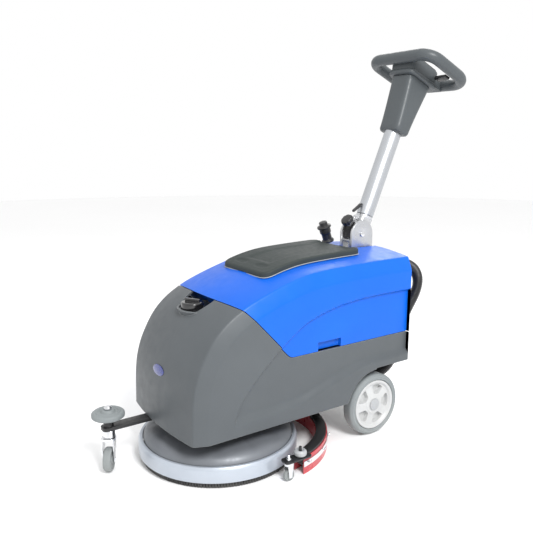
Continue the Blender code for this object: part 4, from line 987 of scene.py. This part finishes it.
def lid_highlight_bead_line():
    """A pale bead along the lid's lower edge; its pale colour is a painted highlight along that edge."""
    route = []
    for side in (1, -1):
        ys = np.linspace(LID_FRONT + 0.0006, LID_BACK - 0.0006, 90)
        ys = LID_FRONT + (ys - LID_FRONT)[::side]
        route += [Vector((side * (lid_half(float(y)) + 0.0002), float(y),
                          tank_surface(lid_half(float(y)), float(y)) + 0.0034)) for y in ys]
    tree, start = node_tree("bead", "Radius")
    ring = put(tree, "CurvePrimitiveCircle", {"Resolution": 8, "Radius": start.outputs["Radius"]}).outputs[0]
    tube = put(tree, "CurveToMesh", {"Curve": start.outputs[0], "Profile Curve": ring}).outputs[0]
    # The bead's pale grey is a painted highlight line along the lid's edge.
    made = grown("lid_bead", line_object(route, closed=True), close_tree(tree, tube, "cap_grey"), "cap_grey",
                 Radius=0.0013)
    return keep(made, "tank_lid", "lid_grey")


tank_lid()
lid_highlight_bead_line()
refined("drain_cuff", "recovery_tank", "black_plastic", 0.0007)
refined("drain_cap", "drain_cap", "black_plastic", 0.0009)

# %% [markdown]
# ## Brush deck
# A steel dome with shallow pressed dents, a silver band round it, and the disc brush below. A disc brush is
# a plate with rings of tufts driven into drilled holes. Geometry Nodes stand one tapered tuft on every
# point of six rings, with a little seeded lean, so each tuft can be seen at the band's lower edge.

# %% Dome and band
DENTS = 12
DENT_DEEP = 0.0022
FEED_HOLE = (-0.105, -0.030, 0)
FEED_HOLE_R = 0.0095


def dome_dents(angle, radius, _height):
    """Shallow radial dents between motor and band."""
    between = eased((radius - 0.125) / 0.02) * eased((0.208 - radius) / 0.02)
    return -DENT_DEEP * float(between) * max(0.0, cos(DENTS * angle)) ** 2


def brush_deck():
    low, high = own_box("splash_band")
    radius = high.x
    band = rounded_profile([(radius - 0.003, low.z), (radius, low.z), (radius, high.z - 0.009),
                            (radius - 0.005, high.z), (radius - 0.013, high.z),
                            (radius - 0.013, high.z - 0.0025),
                            (radius - 0.0075, high.z - 0.0035), (radius - 0.003, high.z - 0.011)], 0.0022)
    made = mesh_object("silver_band", turned(band, 200), "band_silver")
    keep(made, "deck", "band_silver", "splash_band")
    top = own_box("deck_dome")[1].z
    dome = [(0.0125, top - 0.003), (0.0125, top), (0.104, top), (0.112, top - 0.001), (0.125, top - 0.003),
            (0.150, top - 0.007), (0.172, top - 0.011), (0.192, top - 0.017), (0.207, top - 0.023),
            (0.2175, top - 0.033), (0.2215, top - 0.043), (0.2185, top - 0.043), (0.2145, top - 0.034),
            (0.205, top - 0.026), (0.190, top - 0.020), (0.170, top - 0.014), (0.150, top - 0.010),
            (0.125, top - 0.006), (0.104, top - 0.004)]
    made = mesh_object("pressed_dome", turned(dome, 180, wave=dome_dents), "dome_grey", 60)
    feed_hole = turned([(0, 0.06), (FEED_HOLE_R, 0.06), (FEED_HOLE_R, 0.14), (0, 0.14)], 40,
                       Matrix.Translation(FEED_HOLE))
    cut(made, tool_object(feed_hole))
    return keep(made, "deck", "dome_grey", "deck_dome")


brush_deck()


# %% Tufts of the brush
def tuft_tree():
    """A tapered tuft on every point, leaning a little at random."""
    tree, start = node_tree("tufts", "Height", "Tip", "Root")
    cone = put(tree, "MeshCone", {"Vertices": 7, "Side Segments": 2, "Radius Top": start.outputs["Root"],
                                  "Radius Bottom": start.outputs["Tip"], "Depth": start.outputs["Height"]})
    lean = put(tree, "RandomValue", {"Seed": 7}, "FunctionNode", data_type="FLOAT_VECTOR")
    lean.inputs["Min"].default_value = (-0.05, -0.05, 0.0)
    lean.inputs["Max"].default_value = (0.05, 0.05, 6.28)
    tufts = put(tree, "InstanceOnPoints", {"Points": start.outputs[0], "Instance": cone.outputs["Mesh"],
                                           "Rotation": lean.outputs[0]}).outputs[0]
    return close_tree(tree, tufts, "bristle_black")


TUFT_RINGS = 6
TUFT_PITCH = 0.0078
RING_PITCH = 0.026


def brush_tufts():
    low, high = own_box("brush_bristles")
    outer = high.x - 0.0055
    spots = []
    for ring in range(TUFT_RINGS):
        radius = outer - ring * RING_PITCH
        count = int(2 * pi * radius / TUFT_PITCH)
        spots += [(radius * cos(2 * pi * k / count), radius * sin(2 * pi * k / count), low.z + 0.0012)
                  for k in range(count)]
    made = grown("brush_tufts", cloud_object(spots), tuft_tree(), "bristle_black", split=60,
                 Height=high.z - low.z - 0.0014, Tip=0.0046, Root=0.0031)
    print(len(spots), "tufts")
    return keep(made, "brush", "bristle_black", "brush_bristles")


brush_tufts()

# %% [markdown]
# ## Wheels, caster and bumper roller
# All of these are lathe work: a profile with soft corners, spun round the joint's own axis. The big rim
# starts as a dished disc. Five windows are sunk into it, which leaves the wide spokes, and its edges are
# then broken.

# %% Rear wheels
RIM_R = 0.079
HUB_R = 0.024
SPOKES = 5


def rear_wheel(side_name, side):
    low, high = own_box(f"{side_name}_tyre")
    radius, half = (high.z - low.z) / 2, (high.x - low.x) / 2
    place = lying((low.x + high.x) / 2, (low.y + high.y) / 2, (low.z + high.z) / 2, side)
    body = f"{side_name}_wheel"
    tyre = rounded_profile([(RIM_R + 0.0004, -half + 0.002), (RIM_R + 0.005, -half), (radius - 0.008, -half),
                            (radius, -half + 0.008), (radius, half - 0.008), (radius - 0.008, half),
                            (RIM_R + 0.009, half), (RIM_R + 0.008, half - 0.0012),
                            (RIM_R + 0.005, half - 0.0012),
                            (RIM_R + 0.004, half), (RIM_R + 0.0004, half - 0.003)], 0.0035)
    keep(mesh_object(f"{side_name}_rubber_tyre", turned(tyre, 144, place), "tyre_grey"), body, "tyre_grey",
         f"{side_name}_tyre")
    edge = RIM_R - 0.0006
    dish = [(0.010, -half + 0.003), (edge, -half + 0.003), (edge, half - 0.003),
            (edge - 0.003, half - 0.0015),
            (edge - 0.008, half - 0.003), (edge - 0.012, half - 0.009), (HUB_R + 0.008, half - 0.007),
            (HUB_R + 0.003, half - 0.0035), (0.010, half - 0.0035)]
    rim = mesh_object(f"{side_name}_spoked_rim", turned(dish, 120, place), "rim_white")
    for k in range(SPOKES):
        middle = 2 * pi * k / SPOKES + 0.35
        wedge = [(HUB_R + 0.010, -0.26), (edge - 0.017, -0.40), (edge - 0.0145, -0.2), (edge - 0.014, 0.0),
                 (edge - 0.0145, 0.2), (edge - 0.017, 0.40), (HUB_R + 0.010, 0.26)]
        outline = softened([(r * cos(middle + t), r * sin(middle + t), 0) for r, t in wedge], 0.005, 4)
        cut(rim, tool_object(plate([(p.x, p.y) for p in outline], 0.0, 0.04, place=place)))
    keep(edged(rim, 0.0011, 2, 35), body, "rim_white", f"{side_name}_rim")
    cap = rounded_profile([(0.0, half - 0.0032), (HUB_R - 0.004, half - 0.0032),
                           (HUB_R - 0.006, half + 0.0005),
                           (0.010, half + 0.0018), (0.0, half + 0.0018)], 0.0015)
    keep(mesh_object(f"{side_name}_axle_cap", turned(cap, 60, place), "cap_grey"), body, "cap_grey",
         f"{side_name}_hub_cap")


for side_name, side in (("left", 1), ("right", -1)):
    rear_wheel(side_name, side)


# %% Bumper roller and caster
def bumper_roller():
    low, high = own_box("bumper_roller")
    radius, middle = (high.x - low.x) / 2, (low + high) / 2
    z = low.z
    profile = [(0.0085, z), (0.018, z), (0.020, z + 0.004), (radius - 0.006, z + 0.002), (radius, z + 0.006),
               (radius, z + 0.016), (radius - 0.005, z + 0.020), (radius - 0.011, z + 0.0195),
               (radius - 0.013, z + 0.022), (radius - 0.017, z + 0.022), (radius - 0.019, z + 0.0185),
               (0.021, z + 0.019), (0.017, high.z), (0.0085, high.z)]
    made = mesh_object("bumper_disc", turned(rounded_profile(profile, 0.002), 120,
                                             Matrix.Translation((middle.x, middle.y, 0))), "tyre_grey")
    return keep(made, "bumper_roller", "tyre_grey", "bumper_roller")


def small_wheel(name, node, joint, body, bore, width, radius):
    """A moulded wheel with a raised hub and soft tread edges."""
    half = width / 2
    profile = [(bore, -half), (radius * 0.34, -half), (radius * 0.42, -half + width * 0.16),
               (radius * 0.74, -half + width * 0.16), (radius * 0.80, -half + width * 0.04),
               (radius * 0.93, -half + width * 0.04), (radius, -half + width * 0.22),
               (radius, half - width * 0.22), (radius * 0.93, half - width * 0.04),
               (radius * 0.80, half - width * 0.04), (radius * 0.74, half - width * 0.16),
               (radius * 0.42, half - width * 0.16), (radius * 0.34, half), (bore, half)]
    shape = turned(rounded_profile(profile, 0.0012), 72, joint_place(joint))
    return keep(mesh_object(name, shape, "tyre_grey"), body, "tyre_grey", node)


bumper_roller()
small_wheel("caster_tread", "caster_wheel", "caster_wheel_spin", "caster_wheel", 0.005, 0.024, 0.034)
refined("caster_fork", "caster_swivel", "chrome", 0.0009)
refined("front_arm", "machine_frame", "painted_black", 0.0022, 3)

# %% [markdown]
# ## Squeegee
# A curved channel carries two red blades. The outer blade is held by a bright strap, and the strap by studs
# with wing nuts, so that a blade can be turned without tools. The sections are carried round the arc by a
# formula, and a loop stands a stud and its wing nut at each place along the strap.

# %% Channel, blades and strap
ARC_Y, ARC_R, ARC_WIDE = 0.070, 0.254, 0.030
END_ANGLE = radians(10)
BLADE_THICK = 0.003
WING_NUTS = 9


def carried_round(profile, spare=0.0, steps=110):
    """Carries a (radius, height) section round the squeegee's arc."""
    start, end = END_ANGLE + spare, pi - END_ANGLE - spare
    shape = bmesh.new()
    rings = []
    for k in range(steps + 1):
        angle = start + (end - start) * k / steps
        rings.append([shape.verts.new((r * cos(angle), ARC_Y + r * sin(angle), z)) for r, z in profile])
    grid_faces(shape, rings)
    for ring in (rings[0], rings[-1]):
        shape.faces.new(ring)
    return shape


def squeegee():
    inner, outer = ARC_R - ARC_WIDE / 2, ARC_R + ARC_WIDE / 2
    floor, top = 0.026, 0.056
    channel = [(inner, floor), (inner + 0.005, floor), (inner + 0.005, top - 0.008),
               (outer - 0.005, top - 0.008),
               (outer - 0.005, floor), (outer, floor), (outer, top - 0.002), (outer - 0.004, top),
               (ARC_R + 0.004, top - 0.0005), (ARC_R + 0.002, top - 0.003), (ARC_R - 0.002, top - 0.003),
               (ARC_R - 0.004, top - 0.0005), (inner + 0.004, top), (inner, top - 0.002)]
    body = mesh_object("squeegee_channel", carried_round(rounded_profile(channel, 0.0014, 2)),
                       "black_plastic")
    keep(body, "squeegee", "black_plastic")
    refined("squeegee_body", "squeegee", "black_plastic", 0.0006, name="squeegee_ends")
    blade_in = outer + 0.0004
    rear = [(blade_in, 0.0), (blade_in + BLADE_THICK, 0.0), (blade_in + BLADE_THICK, 0.050),
            (blade_in, 0.050)]
    keep(mesh_object("outer_red_blade", carried_round(rear), "squeegee_red"), "squeegee", "squeegee_red",
         "rear_blade")
    blade_out = inner - 0.0004
    front = [(blade_out - BLADE_THICK, 0.001), (blade_out, 0.001), (blade_out, 0.048),
             (blade_out - BLADE_THICK, 0.048)]
    keep(mesh_object("inner_red_blade", carried_round(front), "squeegee_red"), "squeegee", "squeegee_red",
         "front_blade")
    strap_in = blade_in + BLADE_THICK + 0.0004
    strap = [(strap_in, 0.022), (strap_in + 0.0015, 0.022), (strap_in + 0.0015, 0.038), (strap_in, 0.038)]
    keep(mesh_object("blade_strap", carried_round(strap), "chrome"), "squeegee", "chrome", "blade_clamp")
    spots = []
    for k in range(WING_NUTS):
        angle = END_ANGLE + 0.08 + (pi - 2 * END_ANGLE - 0.16) * k / (WING_NUTS - 1)
        reach = strap_in + 0.003
        spots.append((Vector((reach * cos(angle), ARC_Y + reach * sin(angle), 0.030)), angle))
    tips = bmesh.new()
    for spot, angle in spots:
        outline = [(-0.002, -0.002), (0.002, -0.002), (0.0075, 0.0035), (0.0055, 0.0075), (0.0, 0.0025),
                   (-0.0055, 0.0075), (-0.0075, 0.0035)]
        turn = Matrix.Translation(spot) @ Matrix.Rotation(angle + pi / 2, 4, "Z")
        joined(tips, plate(outline, -0.0035, -0.0015, "Y", turn @ Matrix.Translation((0, -0.001, 0))))
        stem = [(0, -0.002), (0.0024, -0.002), (0.0024, 0.0035), (0.0015, 0.0045), (0, 0.0045)]
        joined(tips, turned(stem, 12, Matrix.Translation(spot) @ Matrix.Rotation(angle, 4, "Z")
                            @ Matrix.Rotation(pi / 2, 4, "Y")))
    keep(edged(mesh_object("wing_nuts", tips, "chrome"), 0.0004, 2), "squeegee", "chrome")


squeegee()
for side_name in ("left", "right"):
    refined(f"{side_name}_end_fork", f"{side_name}_end_swivel", "chrome", 0.0006)
    small_wheel(f"{side_name}_end_tread", f"{side_name}_end_wheel", f"{side_name}_end_wheel_spin",
                f"{side_name}_end_wheel", 0.003, 0.012, 0.016)
    low, high = own_box(f"{side_name}_end_roller")
    middle, radius = (low + high) / 2, (high.x - low.x) / 2
    disc = rounded_profile([(0.0052, low.z), (radius - 0.003, low.z), (radius, low.z + 0.004),
                            (radius, high.z - 0.005), (radius - 0.004, high.z), (0.010, high.z),
                            (0.009, high.z - 0.002), (0.0052, high.z - 0.002)], 0.0015)
    shape = turned(disc, 72, Matrix.Translation((middle.x, middle.y, 0)))
    keep(mesh_object(f"{side_name}_corner_roller", shape, "cap_grey"), f"{side_name}_end_roller", "cap_grey",
         f"{side_name}_end_roller")
refined("squeegee_yoke", "squeegee_carrier", "painted_black", 0.0008)
refined("suction_elbow", "squeegee_carrier", "black_plastic", 0.0008)

# %% [markdown]
# ## Handle
# A die-cast hinge with a ribbed locking sector, a drawn tube, and a moulded head with a steering ring. The
# ring is one round bar bent round a rounded outline, so it is swept; the head's column and hub are lofts
# between rounded rectangles, as their tools were milled.

# %% Hinge, pole and head
LEAN = radians(23.7)
PIVOT = Vector(JOINT["handle_fold"]["pos_m"]) - HOME.translation
POLE_FOOT = (0.572, 0.670)
POLE = Matrix.Translation((0, *POLE_FOOT)) @ Matrix.Rotation(-LEAN, 4, "X")
FOOT_R, SECTOR_R = 0.034, 0.041
POLE_R, POLE_WALL = 0.028, 0.003
HEAD_LOW, HEAD_TOP = 0.290, 0.475
COLLAR_HIGH, HUB_HIGH = 0.016, 0.044
RING_AT, RING_HALF, RING_FRONT, RING_BACK, RING_TUBE = 0.520, 0.131, -0.082, 0.123, 0.019


def rounded_section(half, back, front, corner, height, steps=8):
    """A rounded rectangle across the pole."""
    outline = [(-half, back, height), (half, back, height), (half, front, height), (-half, front, height)]
    return softened(outline, corner, steps)


def lofted(sections, place=Matrix()):
    shape = bmesh.new()
    rings = [[shape.verts.new(place @ point) for point in section] for section in sections]
    grid_faces(shape, rings)
    for ring in (rings[0], rings[-1]):
        shape.faces.new(ring)
    return shape


def tooth_sector():
    """The locking sector: fine ribs across a dark arc."""
    start, end, ribs = radians(112), radians(196), 15
    inner, outer = [], []
    for k in range(ribs * 6 + 1):
        angle = start + (end - start) * k / (ribs * 6)
        radius = SECTOR_R - 0.0018 * (0.5 - 0.5 * cos(2 * pi * k / 6))
        outer.append((PIVOT.y + radius * cos(angle), PIVOT.z + radius * sin(angle)))
        inner.append((PIVOT.y + (FOOT_R + 0.0004) * cos(angle), PIVOT.z + (FOOT_R + 0.0004) * sin(angle)))
    half = own_box("tooth_sector")[1].x
    made = mesh_object("ribbed_sector", plate(outer + inner[::-1], -half, half, "X"), "black_plastic")
    return keep(made, "handle", "black_plastic", "tooth_sector")


def fold_knob():
    """A fluted clamping knob on its stud."""
    place = joint_place("fold_knob_turn")
    box_low, box_high = own_box("fold_knob")
    far = ((box_low + box_high) / 2 - place.translation).length
    profile = rounded_profile([(0.0, 0.0), (0.006, 0.0), (0.006, 0.008), (0.013, 0.010), (0.0205, 0.014),
                               (0.0205, 0.026), (0.017, 0.0295), (0.0, 0.0305)], 0.0016)
    outward = Matrix.Translation(PIVOT) @ Matrix.Rotation(radians(42), 4, "X")
    shape = turned(profile, 96, outward @ Matrix.Translation((0, 0, SECTOR_R + 0.0004)))
    axis = outward.to_3x3() @ Vector((0, 0, 1))
    for vertex in shape.verts:
        out = vertex.co - outward.translation
        out -= axis * out.dot(axis)
        if out.length > 0.015:
            spin = (outward.inverted().to_3x3() @ out)
            flute = max(0.0, cos(8 * np.arctan2(spin.y, spin.x))) ** 2
            vertex.co -= out.normalized() * 0.0016 * flute
    print("knob centre", round(far, 4), "from its joint")
    return keep(mesh_object("clamp_knob", shape, "black_plastic", 50), "fold_knob", "black_plastic",
                "fold_knob")


def pole():
    top = HEAD_LOW + 0.110
    profile = [(POLE_R - POLE_WALL, 0.0), (POLE_R - 0.0004, 0.0), (POLE_R, 0.0005), (POLE_R, top),
               (POLE_R - POLE_WALL, top)]
    made = mesh_object("drawn_pole", turned(profile, 72, POLE), "pole_silver")
    keep(made, "handle", "pole_silver", "pole")


def ring_outline():
    """The ring's middle line, from the front bar round the flared sides to the rounder back."""
    points = []
    for middle_x, middle_y, radius, start, end in (
            (RING_HALF - 0.045, RING_FRONT + 0.045, 0.045, -pi / 2, 0),
            (RING_HALF - 0.062, RING_BACK - 0.062, 0.062, 0, pi / 2),
            (-RING_HALF + 0.062, RING_BACK - 0.062, 0.062, pi / 2, pi),
            (-RING_HALF + 0.045, RING_FRONT + 0.045, 0.045, pi, 3 * pi / 2)):
        points += [(middle_x + radius * cos(start + (end - start) * k / 14),
                    middle_y + radius * sin(start + (end - start) * k / 14), RING_AT) for k in range(15)]
    return points


def steering_ring():
    tree, start = node_tree("ring_bar", "Radius")
    around = put(tree, "CurvePrimitiveCircle",
                 {"Resolution": 28, "Radius": start.outputs["Radius"]}).outputs[0]
    bar = put(tree, "CurveToMesh", {"Curve": start.outputs[0], "Profile Curve": around}).outputs[0]
    line = line_object([POLE @ Vector(p) for p in ring_outline()], closed=True)
    made = grown("steering_ring", line, close_tree(tree, bar, "head_grey"), "head_grey", split=60,
                 Radius=RING_TUBE)
    keep(made, "handle", "head_grey", "handle_ring")
    low = HEAD_TOP + 0.0004
    top = low + COLLAR_HIGH
    collar = [rounded_section(0.050, -0.058, 0.066, 0.026, low),
              rounded_section(0.0545, -0.063, 0.076, 0.028, low + 0.0015),
              rounded_section(0.056, -0.065, 0.078, 0.029, low + 0.005),
              rounded_section(0.056, -0.065, 0.078, 0.029, top - 0.003),
              rounded_section(0.0545, -0.0635, 0.0765, 0.028, top - 0.0008),
              rounded_section(0.052, -0.062, 0.073, 0.026, top)]
    keep(mesh_object("hub_collar", lofted(collar, POLE), "head_grey", 50), "handle", "head_grey")
    hub = [rounded_section(0.051, -0.062, 0.071, 0.026, top - 0.001),
           rounded_section(0.0505, -0.068, 0.071, 0.026, top + 0.020),
           rounded_section(0.050, -0.070, 0.070, 0.026, top + HUB_HIGH - 0.004),
           rounded_section(0.0485, -0.0685, 0.0685, 0.025, top + HUB_HIGH - 0.001),
           rounded_section(0.046, -0.066, 0.066, 0.024, top + HUB_HIGH)]
    keep(mesh_object("ring_hub", lofted(hub, POLE), "head_grey", 50), "handle", "head_grey")
    tail = softened([(-0.030, 0.050, 0), (0.030, 0.050, 0), (0.030, RING_BACK, 0), (-0.030, RING_BACK, 0)],
                    0.004)
    shape = plate([(p.x, p.y) for p in tail], top + 0.006, RING_AT + 0.012, place=POLE)
    keep(edged(mesh_object("ring_tail", shape, "head_grey"), 0.004, 3), "handle", "head_grey")


def head_column():
    sections = []
    for k in range(13):
        share = k / 12
        swell = 1 - (1 - share) ** 2
        height = HEAD_LOW + 0.008 + (HEAD_TOP - HEAD_LOW - 0.010) * share
        sections.append(rounded_section(0.0455 + 0.0005 * swell - 0.001 * share,
                                        -0.032 - 0.020 * share ** 1.3,
                                        0.034 + 0.024 * share ** 1.3, 0.022, height))
    foot = [rounded_section(0.038, -0.024, 0.026, 0.016, HEAD_LOW),
            rounded_section(0.0425, -0.0285, 0.0305, 0.019, HEAD_LOW + 0.0015)]
    crown = [rounded_section(0.0435, -0.050, 0.056, 0.021, HEAD_TOP)]
    made = mesh_object("head_tower", lofted(foot + sections + crown, POLE), "head_grey", 50)
    bore = tool_object(turned([(0, HEAD_LOW - 0.02), (POLE_R + 0.0004, HEAD_LOW - 0.02),
                               (POLE_R + 0.0004, HEAD_LOW + 0.111),
                               (0, HEAD_LOW + 0.111)], 72, POLE))
    keep(cut(made, bore), "handle", "head_grey", "head_column")
    made.data.shade_smooth()
    made.data.set_sharp_from_angle(angle=radians(50))


refined("hinge_bracket", "machine_frame", "cast_silver", 0.0016, 3)
refined("pole_foot", "handle", "cast_silver", 0.0014, 2)
refined("hinge_pin", "machine_frame", "chrome", 0.0006)
tooth_sector()
fold_knob()
refined("fold_lever", "fold_lever", "black_plastic", 0.0012)
pole()
head_column()
steering_ring()

# %% Controls
refined("control_panel", "handle", "black_plastic", 0.0010)
refined("key_switch", "key_switch", "chrome", 0.0005)
for name in ("brush", "vacuum"):
    refined(f"{name}_switch", f"{name}_switch", "squeegee_red", 0.0008)
for side_name in ("left", "right"):
    refined(f"{side_name}_trigger", f"{side_name}_trigger", "black_plastic", 0.0012)

# %% [markdown]
# ## Underside and inside
# Chassis, axle, pedal, motor, batteries and the vacuum motor are folded sheet, bar and plain castings. The
# frame's solids already have their true shape, so most keep it and take a finish, and the ones that show
# get broken edges.

# %% Frame parts that show
refined("chassis_frame", "machine_frame", "painted_black", 0.0008)
refined("lift_pedal", "lift_pedal", "painted_black", 0.0012)
refined("handle_post", "machine_frame", "painted_black", 0.0015)
refined("rear_axle", "machine_frame", "painted_black", 0.0010)
